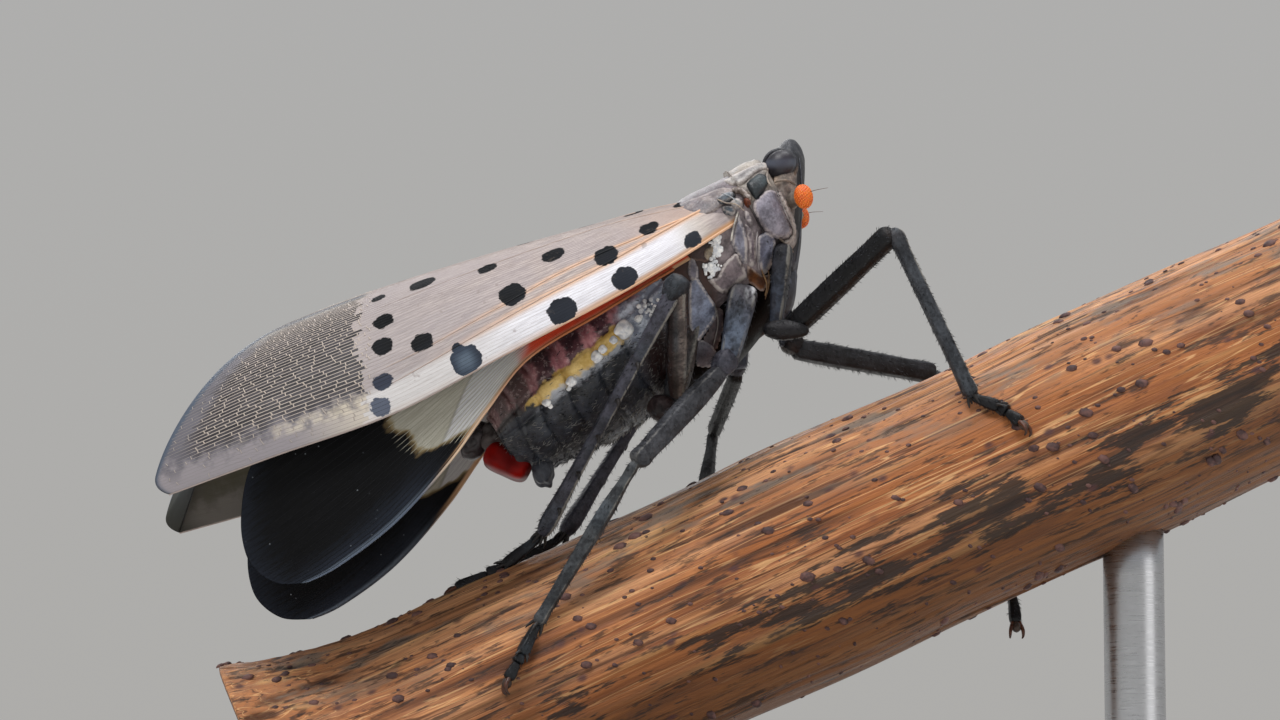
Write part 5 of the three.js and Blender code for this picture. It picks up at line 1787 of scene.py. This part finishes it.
LEG_PROFILES = {  # girth as a share of the listed one, from start to end
    "coxa": smooth((0, 0.9), (0.15, 1.12), (0.5, 1.0), (0.85, 0.8), (1, 0.66)),
    "trochanter": smooth((0, 0.7), (0.4, 1.05), (0.8, 0.9), (1, 0.7)),
    "oval": smooth((0, 0.45), (0.1, 0.72), (0.35, 1.02), (0.6, 0.95), (0.85, 0.66), (1, 0.35)),
    "femur": smooth((0, 0.6), (0.1, 0.82), (0.35, 1.0), (0.7, 0.94), (0.88, 0.86), (0.95, 0.94), (1, 0.78)),
    "thigh": smooth((0, 0.8), (0.06, 0.98), (0.4, 1.04), (0.8, 0.98), (0.95, 1.0), (1, 0.85)),
    "shin_front": smooth((0, 0.8), (0.05, 1.1), (0.14, 0.95), (0.5, 0.92), (0.9, 0.95), (0.97, 1.08),
                         (1, 0.8)),
    "shin_mid": smooth((0, 0.55), (0.04, 0.72), (0.12, 0.68), (0.3, 1.0), (0.6, 0.92), (0.92, 0.8),
                       (0.97, 0.95), (1, 0.7)),
    "shin_hind": smooth((0, 0.9), (0.06, 1.0), (0.16, 0.88), (0.3, 0.76), (0.6, 0.72), (0.8, 0.82),
                        (0.94, 1.02), (1, 0.85)),
    "toe": smooth((0, 0.6), (0.3, 0.85), (0.8, 1.1), (1, 0.85)),
}
SECTION = {"corners": 4, "depth": 0.15, "points": 40}

# %% [markdown]
# The legs look like black velvet, with hardly any shine, a bluish grey cloud and ridges painted pale as a
# highlight. The shared effects of the body make it, with other numbers.

# %% Finish of the legs
def leg_finish(tree):
    tint = tree.mark("tint", "Color")
    cloud = tree.effect(horn_cloud, Scale=1500.0, Dark="74747a", Pale="ffffff")
    tone = tree.mix(0.9, tint, cloud["Color"], "MULTIPLY")
    # On the legs the rim mark holds the painted highlight of the ridges.
    pale = tree.times(tree.mark("rim"), tree.plus(cloud["Cloud"], 0.5))
    tone = tree.over(tone, "7d7a74", tree.fit(pale, 0.15, 0.8, 0, 0.85))
    dust = tree.effect(wax_dust, Color=tone, Scale=9000.0, Amount=tree.mark("wax"))
    return {"Base_Color": dust["Color"], "Roughness": tree.fit(cloud["Cloud"], 0.0, 1.0, 0.42, 0.6),
            "Normal": tree.bump(cloud["Grain"], 0.03, 0.8)}


leg_horn = finish_named("leg_horn", leg_finish, Specular_IOR_Level=0.24)

# %% [markdown]
# A stretch of a leg is thick where its muscles lie. Scaled cylinders would do from afar. A loft gives the
# ridges, the girth along the tube and the lie of its hairs in one go.

# %% One stretch of a leg
def limb(start, end, part, girth, tint, rows, ridge, flat=1.0, front=1, twist=0.0):
    """One stretch of a leg: a squarish tube with four ridges. The ridges that face front, 1 for ahead and -1
    for behind, are painted pale as a highlight; 0 paints all alike. Only the oval part is round. twist turns
    the ridges."""
    share = np.linspace(0, 1, rows)
    path = start + np.outer(share, end - start)
    ahead, first, second = side_of(path)
    turn = circle(SECTION["points"])
    corner = (0.5 - 0.5 * np.cos(SECTION["corners"] * (turn - twist))) * (part != "oval")
    radius = girth * LEG_PROFILES[part](share)
    taper = step(share, 0, 0.02) * step(1 - share, 0, 0.02)
    ring = 1 + SECTION["depth"] * (corner**3 - 0.35) * taper[:, None]
    dome = np.sqrt(np.clip(1 - np.abs(share * 2 - 1) ** 34, 0.12, 1))
    wide = (radius * dome)[:, None] * ring
    rings = path[:, None] + wide[..., None] * (np.cos(turn)[:, None] * first[:, None]
                                               + flat * np.sin(turn)[:, None] * second[:, None])
    points, faces = loft(rings)
    outward_from = unit(rings - path[:, None])
    facing = step(front * outward_from[..., 0], -0.3, 0.35)
    # The pale ridges are a painted highlight, strongest where they face front.
    worn = ridge * corner[None] ** 7 * facing * taper[:, None] * (0.75 + 0.25 * np.sin(share * 9))[:, None]
    marks = tinted(len(points), tint, wax=0.06)
    marks["rim"] = np.maximum(ends(worn), 0)
    marks["lie"] = ends(0.75 * ahead[:, None] + 0.6 * outward_from)
    marks["thick"] = ends(np.full(wide.shape, 1.0 if part != "coxa" else 0.6))
    return points, faces, marks, round_uv(share[:, None], turn / (2 * math.pi))


def merged(parts):
    """Several lofts with the same marks as one; each takes a strip of the UV map."""
    strips = [part[3] * (0.98 / len(parts), 1) + (row / len(parts), 0) for row, part in enumerate(parts)]
    return *united([part[:3] for part in parts]), np.concatenate(strips)


def foot(corners, girth, tint):
    """Three foot joints along the last corners, each wider at its far end."""
    ankle, instep, toe = corners[3:]
    second = instep + (toe - instep) * 0.32
    stops = [(ankle, instep), (instep, second), (second, toe)]
    return [limb(a - (b - a) * 0.04, b, "toe", girth, tint, 16, ridge=0.2) for a, b in stops]

# %% [markdown]
# Now the stretches become legs, each one piece. Some hips and knees lie at their own angle in this pose.
# The left legs lie in shade: their ridges get little of the painted highlight, the mid left femur is painted
# near black as shade, and the front left femur a lighter grey, as it shows lit from above.

# %% Six legs
LEG_PIECES = {}
for name, corners in LEGS.items():
    pair, which = name.split("_")
    coxa, femur, tibia, toe = GIRTHS[pair]
    tints = LEG_TINTS[pair]
    front = -1 if name == "mid_right" else 1
    hip, turner, knee, ankle = corners[:4]
    bend = turner + unit(knee - turner) * 0.55
    root = bend - unit(knee - bend) * 0.3
    start = turner - unit(turner - hip) * 0.35
    joint = dict(part="trochanter", girth=femur * 1.08, ridge=0.3)
    if name == "front_right":
        start, bend, root = np.array([(1.02, -2.3, 30.68), (2.5, -2.55, 30.6), (1.95, -1.95, 30.75)])
        joint = dict(part="oval", girth=0.35, ridge=0.0)
    if name == "hind_right":
        start, bend, root = np.array([(-2.7, -1.95, 28.35), (-1.7, -2.1, 27.8), (-1.8, -2.0, 28.5)])
        joint, femur = dict(part="oval", girth=0.46, ridge=0.0), 0.36
    # The pale ridges are a painted highlight; the left legs, in shade, get little of it.
    ridge_highlight = 1.0 if which == "right" else 0.15
    thigh = dict(part="femur", ridge=0.9 * ridge_highlight, front=front)
    if pair == "front":
        thigh = dict(part="thigh", ridge=0.15)
    if name == "mid_left":
        thigh, femur, joint = dict(part="thigh", ridge=0.1), 0.24, dict(part="oval", girth=0.3, ridge=0.0)
    twist = {"hind_right": 0.75}.get(name, 0.0)
    # Painted light and shade: the mid left femur near black, the front left femur a lighter grey.
    skin = {"front_left": "2c2d31", "mid_left": "0e0f11"}.get(name, tints[3])
    if pair == "mid":
        ridge_highlight = 0.55 * ridge_highlight
    shin = unit(knee - ankle)
    parts = [
        limb(hip, turner, "coxa", coxa * 1.1, tints[0], 60, 1.1, FLATNESS[pair], int(pair != "mid")),
        limb(start, bend, tint=tints[2], rows=24, **joint),
        limb(root, knee, girth=femur, tint=skin, rows=60, flat=1.08, **thigh),
        limb(knee + shin * 0.1, ankle, "shin_" + pair, tibia, tints[4], 90, ridge_highlight * (1 + twist), twist=twist),
    ]
    if pair == "hind":
        cap = (knee + shin * 0.36, knee - shin * 0.5)
        parts.append(limb(*cap, "trochanter", femur * 1.02, "232328", 20, 0.0))
    parts += foot(corners, toe, tints[5])
    points, faces, marks, uv = merged(parts)
    stretch = np.repeat(np.arange(len(parts)), [len(part[0]) for part in parts])
    coxa_points, oval_points, thigh_points = stretch == 0, stretch == 1, stretch == 2
    upper = coxa_points * step(points[:, 2] - (hip[2] + turner[2]) / 2, -0.3, 0.9)
    blend(marks, upper * 0.8, tints[1])
    blend(marks, coxa_points * 0.6 * step(wobble(points, 0.45, 60), 0.2, 0.8), "1f1c20")
    knee_near = np.exp(-((np.linalg.norm(points - knee, axis=1) / 0.36) ** 2))
    turner_near = np.exp(-((np.linalg.norm(points - turner, axis=1) / 0.4) ** 2))
    knee_tint = "3d2618" if pair == "front" else "55534f"
    blend(marks, 0.5 * knee_near * step(wobble(points, 0.5, 61), -0.2, 0.5), knee_tint)
    blend(marks, 0.3 * turner_near * step(wobble(points, 0.5, 62), -0.1, 0.5), "5a3a26")
    if pair != "front" and which == "right":
        blend(marks, 0.35 * step(wobble(points, 1.5, 63), 0.1, 0.8), "4b5660")
    if pair == "mid":
        waxy = np.exp(-(((points[:, 0] - 0.74) / 0.26) ** 2) - ((points[:, 2] - 31.86) / 0.28) ** 2)
        blend(marks, coxa_points * upper * step(wobble(points, 0.16, 64), 0.15, 0.5) * 0.8, "19161a")
        blend(marks, coxa_points * waxy * step(wobble(points, 0.3, 65), -0.3, 0.2), "f2f3f6")
    if name == "hind_right":
        line = np.interp(points[:, 2], (root[2], knee[2]), (root[0], knee[0]))
        # Painted shadow: the left edge of the hind right femur is dark red-brown; the right half is its pale
        # brown.
        blend(marks, thigh_points * step(line - 0.06 - points[:, 0], 0, 0.1) * 0.9, "2a1714")
        blend(marks, thigh_points * step(points[:, 0] - line, 0, 0.12) * 0.8, "7d716b")
        blend(marks, oval_points * 0.8, "38231f")
    made = piece(f"leg_{name}", points, faces, leg_horn, marks, uv)
    nodes = [f"leg_{name}_{part}" for part in ("coxa", "femur", "tibia", "tarsus")]
    LEG_PIECES[name] = stand_for(made, "leg", *nodes)

# %% [markdown]
# Spines stand along the hind shins and as a crown at their ends. Every foot ends in two curved claws around
# a pad.

# %% Spines, claws and pads
def spine_set(name, corners):
    """Lines and girths of the spines of one leg."""
    knee, ankle, instep = corners[2:5]
    ahead = unit(ankle - knee)
    side = unit(np.cross(ahead, (0, 1.0, 0)))
    lines, girths = [], []
    if name.startswith("hind"):
        for k in range(5):
            at = knee + (ankle - knee) * (0.3 + 0.145 * k)
            out = unit(np.array([0, SIDES[name[5:]], 0]) + side * 0.5)
            share = np.linspace(0, 1, 8)
            lines.append(spline([at, at + out * 0.36 + ahead * 0.1, at + out * 0.5 + ahead * 0.3], share))
            girths.append(0.1 * (1 - share) ** 0.7 + 0.008)
    crown = 7 if name.startswith("hind") else 4
    for joint, before, size, count in ((ankle, knee, 0.36, crown), (instep, ankle, 0.24, crown - 1)):
        run = unit(joint - before)
        first = unit(np.cross(run, (0.3, 0.5, 0.8)))
        second = np.cross(run, first)
        for k in range(count):
            turn = 2 * math.pi * k / count + 0.4
            out = first * math.cos(turn) + second * math.sin(turn)
            base = joint - run * 0.08 + out * 0.14
            route = [base, base + run * size * 0.6 + out * 0.1, base + run * size + out * 0.13]
            share = np.linspace(0, 1, 6)
            lines.append(spline(route, share))
            girths.append(0.06 * (1 - share) ** 0.8 + 0.008)
    return lines, girths


for name, corners in LEGS.items():
    lines, girths = spine_set(name, corners)
    instep, toe = corners[4:]
    run = unit(toe - instep)
    side = unit(np.cross(run, (0, 0, 1.0)))
    down = np.cross(side, run)
    down = down if down[2] < 0 else -down
    tints = [rgb("26211f", len(line)) for line in lines]
    for way in (-1, 1):
        route = [toe - run * 0.1 + side * way * 0.08,
                 toe + run * 0.22 + side * way * 0.2,
                 toe + run * 0.4 + side * way * 0.22 + down * 0.12,
                 toe + run * 0.42 + side * way * 0.2 + down * 0.26]
        lines.append(spline(route, np.linspace(0, 1, 12)))
        girths.append(0.075 * (1 - np.linspace(0, 1, 12)) ** 0.6 + 0.008)
        tints.append(np.linspace(rgb("6b3514"), rgb("2a1a12"), 12))
    pad = np.linspace(toe - run * 0.05, toe + run * 0.3 + down * 0.05, 8)
    lines.append(pad)
    girths.append(np.array([0.1, 0.13, 0.15, 0.16, 0.16, 0.15, 0.12, 0.05]))
    tints.append(rgb("4a3a30", 8))
    stand_for(ribs(f"claws_{name}", lines, girths, horn, 8, {"tint": tints}), "leg")

# %% [markdown]
# A short coat of dark hairs makes the legs velvety. The hairs lie toward the tip of each leg. The underside
# of the abdomen carries a paler fuzz, longer and more upright.

# %% Coat
def hair_finish(dark, pale):
    def recipe(tree):
        return {"Base_Color": tree.mix(tree.patchy(2200, 2, 0.5, 0.4, 0.6), dark, pale)}

    return recipe


hair_skin = finish_named("hair", hair_finish("121214", "4c4e54"), Roughness=0.6, Specular_IOR_Level=0.2)
fuzz_skin = finish_named("fuzz", hair_finish("34353a", "92908c"), Roughness=0.6, Specular_IOR_Level=0.2)
coat = dict(per_mm2=42, size=0.12, variation=0.45, jitter=0.35)
fuzz = dict(per_mm2=60, size=0.15, variation=0.5, jitter=0.45)
for number, (name, leg) in enumerate(LEG_PIECES.items()):
    stand_for(sow(f"hairs_{name}", leg, HAIR, hair_skin, **coat, seed=number), "leg")
    drop_marks(leg, "thick", "lie")
stand_for(sow("hairs_abdomen", abdomen, HAIR, fuzz_skin, **fuzz, seed=11), "abdomen")
drop_marks(abdomen, "thick", "lie")

# %% [markdown]
# The perch is a cut length of a dry stem, 8 mm thick. Its bark is orange-brown and fibrous, with dark
# pores, black mould on the lower side and grey weathered patches on top. Its top is painted paler as a
# highlight, and its lower side darker, partly in its own colour and partly as painted shade. It slants, and
# flares a little at its lower end, where a side shoot once grew.

# %% Shape of the stem
STEM = {"radius": 3.9, "slope": math.atan(0.4613), "height": 22.1, "from": -16.2, "to": 22.6, "swell": 1.1,
        "swell_length": 6.5, "rows": 420, "columns": 210}


def stem_point(along, turn, grow=0.0):
    """A point of the stem, and its place in straight stem coordinates: along, and two across."""
    flare = STEM["swell"] * np.maximum(0, 1 - (along - STEM["from"]) / STEM["swell_length"]) ** 2
    flats = 0.06 * np.sin(5 * turn + 0.08 * along) + 0.05 * np.sin(0.55 * along)
    r = STEM["radius"] + flare + flats + grow
    c, s = math.cos(STEM["slope"]), math.sin(STEM["slope"])
    lift = r * np.sin(turn)
    points = np.stack([along * c - lift * s, r * np.cos(turn), STEM["height"] + along * s + lift * c], -1)
    return points, np.stack([along + 0 * r, r * np.cos(turn), lift], -1)


def ropes(straight, seed, pitch, length):
    """Ridges that run along the stem: noise drawn out lengthwise."""
    return wobble(straight * (pitch / length, 1, 1), pitch, seed)


def stem_relief(along, turn):
    """How far the bark stands out at a point, in millimetres."""
    _, straight = stem_point(along, turn)
    fibre = 0.035 * ropes(straight, 70, 0.9, 34) + 0.032 * ropes(straight, 71, 0.42, 24)
    fibre = fibre + 0.014 * ropes(straight, 72, 0.2, 12)
    crack = np.maximum(0, ropes(straight, 73, 0.7, 22) - 0.7)
    return fibre - 0.2 * crack + 0.03 * wobble(straight, 4.0, 74)


along, turn = np.meshgrid(np.linspace(STEM["from"] + 0.08, STEM["to"] - 0.08, STEM["rows"]),
                          circle(STEM["columns"]), indexing="ij")
relief = stem_relief(along, turn)
rings, straight = stem_point(along, turn, relief)
CUT_SHARES = [0.985, 0.965, 0.9, 0.75, 0.55, 0.35, 0.15]


def cut_end(ring, flat, out):
    """Rings that close an end: a tiny bevel, then the sawn face."""
    middle, flat_middle = ring.mean(0), flat.mean(0)
    bevel = 0.08 * out * np.array([math.cos(STEM["slope"]), 0, math.sin(STEM["slope"])])
    shares = np.array(CUT_SHARES)[:, None, None]
    faces = middle + (ring - middle) * shares + bevel * np.minimum(1, (1 - shares) * 40)
    return faces, flat_middle + (flat - flat_middle) * shares


low, low_flat = cut_end(rings[0], straight[0], -1)
high, high_flat = cut_end(rings[-1], straight[-1], 1)
rings = np.concatenate([low[::-1], rings, high])
straight = np.concatenate([low_flat[::-1], straight, high_flat])
n = len(CUT_SHARES)
flat_end = np.zeros((n, STEM["columns"]))
cut = np.concatenate([flat_end + 1, np.zeros(relief.shape), flat_end + 1])
cut[n - 1], cut[-n] = 0.5, 0.5
raised = np.concatenate([flat_end, relief, flat_end])
high_side = straight[..., 2] / STEM["radius"]
out_from_axis = rings - rings.mean(1, keepdims=True)
belt = -0.4 + 0.005 * straight[..., 0] + 0.04 * wobble(straight, 9, 75)
mould = bump_at(high_side, belt, 0.2) * (0.5 + 0.5 * step(straight[..., 0], -4, 12))
mould = mould * step(wobble(straight * (0.4, 1, 1), 1.6, 76), -0.8, 0.3)

# %% [markdown]
# The bark is drawn in the stem's own straight coordinates, so that its fibres run along the slant. At the
# sawn ends a sine of the distance from the axis gives growth rings.

# %% Bark, and the wood of the sawn ends
def stem_finish(tree):
    straight = tree.mark("straight", "Vector")

    def drawn(low, high):
        return tree.drawn(straight, (low, high, high))

    def line(low, high, width):
        """Long thin lines: the places where stretched noise passes through its middle value."""
        off = tree.off(tree.noise(1.0, 2, 0.5, drawn(low, high)), 0.5)
        return tree.fit(off, width, width * 0.25)

    broad = tree.noise(1.0, 3, 0.55, drawn(0.07, 0.75))
    fibre = tree.effect(fibres, Vector=drawn(0.12, 4.2))
    hair = tree.effect(fibres, Vector=drawn(0.35, 12.0))
    tone = tree.mix(fibre["Fibre"], "864b29", "cb8a58")
    tone = tree.over(tone, "a5612f", tree.fit(broad, 0.42, 0.62, 0, 0.8))
    tone = tree.over(tone, "dca172", tree.fit(broad, 0.5, 0.36, 0, 0.7))
    # Painted highlight: a paler gold where the top of the stem faces the light.
    tone = tree.over(tone, "d09c72", tree.mark("top"), tree.fit(hair["Fibre"], 0, 1, 0.15, 0.5))
    tone = tree.over(tone, "6a3a1e", hair["Fibre"], 0.45)
    tone = tree.over(tone, "4a2815", line(0.05, 1.5, 0.018), 0.75)
    tone = tree.over(tone, "e0b07a", line(0.07, 2.6, 0.016), 0.6)
    groove = tree.fit(tree.mark("relief"), 0.0, -0.08)
    tone = tree.over(tone, "43230f", groove, 0.85)
    crest_line = tree.fit(tree.mark("relief"), 0.02, 0.09)
    tone = tree.over(tone, "dcae74", crest_line, 0.55)
    # The lower side is darker: partly the bark's own colour, partly painted shade.
    under = tree.mix(hair["Fibre"], "2f1b0f", "5c381c")
    under = tree.over(under, "825228", fibre["Fibre"], 0.5)
    tone = tree.mix(tree.times(tree.mark("under"), 0.85), tone, under)
    rubbed = tree.noise(1.0, 4, 0.65, drawn(0.35, 1.3))
    spotty = tree.noise(1.0, 4, 0.7, drawn(2.2, 4.5))
    weather = tree.times(tree.mark("top"), tree.fit(rubbed, 0.5, 0.64))
    tone = tree.over(tone, "75675b", weather, 0.85)
    stain = tree.times(tree.mark("top"), tree.fit(spotty, 0.6, 0.66))
    tone = tree.over(tone, "3a2d26", stain, 0.7)
    blotch = tree.noise(1.0, 4, 0.7, drawn(0.5, 3.6))
    black = tree.plus(tree.mark("mould"), tree.fit(blotch, 0.36, 0.64, -0.42, 0.6))
    black = tree.fit(black, 0.3, 0.7)
    tone = tree.over(tone, "1f1917", black, 0.9)
    freckle = tree.fit(tree.cells(1.0, drawn(0.85, 1.35)), 0.22, 0.06)
    rare = tree.fit(tree.noise(1.0, 2, 0.5, drawn(0.5, 0.8)), 0.42, 0.52)
    tone = tree.over(tone, "472a2c", freckle, rare, 0.85)

    across = tree.node("ShaderNodeSeparateXYZ", {0: straight}).outputs
    radius = tree.vector(0.0, across["Y"], across["Z"])
    radius = tree.node("ShaderNodeVectorMath", {0: radius}, operation="LENGTH").outputs["Value"]
    rough_radius = tree.plus(radius, tree.times(tree.noise(1.0, 3, 0.6, straight), 0.5))
    rings = tree.fit(tree.maths("SINE", tree.times(rough_radius, 15.0)), -1, 1)
    wood = tree.mix(rings, "c29a66", "dabb8a")
    pores = tree.fit(tree.cells(3.2, straight), 0.24, 0.12)
    wood = tree.over(wood, "6d4a2c", pores, 0.6)
    wood = tree.over(wood, "8f6a45", tree.fit(radius, 1.35, 1.1))
    wood = tree.over(wood, "5d3a22", tree.fit(radius, 3.5, 3.8))
    tone = tree.mix(tree.fit(tree.mark("cut"), 0.35, 0.65), tone, wood)
    height = tree.plus(tree.times(fibre["Height"], 0.6), tree.times(hair["Height"], 0.5))
    return {"Base_Color": tone, "Roughness": tree.fit(fibre["Fibre"], 0, 1, 0.55, 0.72),
            "Normal": tree.bump(height, 0.12, 0.9)}

# %% The stem itself
bark = finish_named("stem_bark", stem_finish, Specular_IOR_Level=0.35)
marks = {
    "straight": ends(straight),
    "relief": ends(raised),
    "cut": ends(cut),
    "mould": ends(mould),
    # top carries the weathering and a painted highlight; under carries the darker lower side, partly painted
    # shade.
    "top": ends(step(high_side, 0.15, 0.8)),
    "under": ends(step(-high_side, -0.1, 0.75)),
    "thick": ends((0.25 + 0.75 * step(wobble(straight, 3.0, 77), -0.3, 0.5)) * (cut < 0.2)),
    "lie": ends(unit(out_from_axis)),
}
uv = round_uv(np.linspace(0, 1, len(rings))[:, None], np.arange(STEM["columns"]) / STEM["columns"])
stem = piece("stem", *loft(rings), bark, marks, uv)
stand_for(stem, "stem", "perch_stem")

# %% [markdown]
# Pores and specks are small lumps that stand out of the bark. They are sown as the hairs are, large ones
# thinly and small ones thickly.

# %% Pores and specks of the stem
def pore_finish(tree):
    cloud = tree.noise(2600, 3, 0.6)
    return {"Base_Color": tree.mix(tree.fit(cloud, 0.4, 0.6), "3a2424", "62423c")}


pore_skin = finish_named("stem_pores", pore_finish, Roughness=0.7)
pores = dict(per_mm2=0.75, size=0.24, variation=0.6, jitter=0.15, seed=21)
specks = dict(per_mm2=1.4, size=0.1, variation=0.5, jitter=0.15, seed=22)
stand_for(sow("stem_pores", stem, GRAIN, pore_skin, **pores), "stem")
stand_for(sow("stem_specks", stem, GRAIN, pore_skin, **specks), "stem")
drop_marks(stem, "thick", "lie")

# %% [markdown]
# The stand is plain: a flat board of dark satin hardwood with softened edges, and two brushed steel rods.

# %% Base
BASE = {"half": (22.0, 12.0), "tall": 4.0, "corner": 1.2, "round": 0.35}
ROD = {"radius": 1.0, "places": {"front": 13.2, "rear": -10.2}, "foot": 3.4,
       "collar": [(0.02, 1.0), (0.02, 1.85), (0.3, 1.9), (0.42, 1.8), (0.5, 1.2), (0.62, 1.02), (1.0, 1.0)]}


def rounded_board(half, tall, corner, soft):
    """A board with round corners and softly rounded edges, as rings from the bottom up."""
    turn = circle(96)
    middle = np.array(half) - corner
    where = np.stack([np.cos(turn), np.sin(turn)], 1)
    home = np.sign(where) * middle
    heights, insets = [0.0], [soft * 0.6]
    for t in np.linspace(0, math.pi / 2, 6):
        heights.append(soft * 0.5 * (1 - math.cos(t)))
        insets.append(soft * 0.5 * (1 - math.sin(t)))
    for t in np.linspace(0, math.pi / 2, 9):
        heights.append(tall - soft + soft * math.sin(t))
        insets.append(soft * (1 - math.cos(t)))
    rings = []
    for z, inset in zip(heights, insets):
        flat = home + where * (corner - min(inset, corner * 0.9))
        rings.append(np.concatenate([flat, np.full((96, 1), z)], 1))
    top = rings[-1]
    for share in (0.97, 0.8, 0.5, 0.2):
        rings.append(top * (share, share, 1))
    return loft(np.array(rings))


def hardwood_finish(tree):
    figure = tree.noise(1, 4, 0.6, tree.place((30, 160, 160)), warp=0.6)
    grain = tree.noise(1, 3, 0.6, tree.place((90, 2600, 2600)))
    pore = tree.fit(tree.noise(1, 2, 0.5, tree.place((420, 6200, 6200))), 0.6, 0.68)
    tone = tree.mix(tree.fit(figure, 0.35, 0.65), "33201a", "5a3b2b")
    tone = tree.over(tone, "251611", tree.fit(grain, 0.4, 0.62), 0.5)
    tone = tree.over(tone, "160d0a", pore, 0.6)
    return {"Base_Color": tone, "Roughness": tree.fit(grain, 0.3, 0.7, 0.32, 0.44),
            "Normal": tree.bump(grain, 0.02, 0.4)}


hardwood = finish_named("dark_hardwood", hardwood_finish, Coat_Weight=0.25, Coat_Roughness=0.25)
board = rounded_board(BASE["half"], BASE["tall"], BASE["corner"], BASE["round"])
stand_for(piece("display_base", *board, hardwood), "base", "stand_base")

# %% [markdown]
# The rods are turned: rings round an upright line, wide at the collar. Brushing shows as fine lines round
# them.

# %% Rods
def steel_finish(tree):
    brushed = tree.noise(1, 3, 0.6, tree.place((900, 900, 26000)))
    return {"Roughness": tree.fit(brushed, 0.3, 0.7, 0.24, 0.42), "Normal": tree.bump(brushed, 0.004, 0.35)}


steel = finish_named("brushed_steel", steel_finish, Base_Color="b9babd", Metallic=1.0)
turn = circle(64)
for where, x in ROD["places"].items():
    under = STEM["height"] + x * math.tan(STEM["slope"]) - (STEM["radius"] - 0.6) / math.cos(STEM["slope"])
    profile = [(ROD["foot"], ROD["radius"])] + [(BASE["tall"] + z, r) for z, r in ROD["collar"]]
    profile += [(z, ROD["radius"]) for z in np.linspace(BASE["tall"] + 1.5, under, 12)]
    rings = [np.stack([x + r * np.cos(turn), r * np.sin(turn), 0 * turn + z], 1) for z, r in profile]
    stand_for(piece(f"rod_{where}", *loft(np.array(rings)), steel), "rod", f"stand_rod_{where}")

# %% [markdown]
# The two small shapes that only served as seeds for hairs and grains are removed.

# %% End
for helper in (HAIR, GRAIN):
    bpy.data.objects.remove(helper)
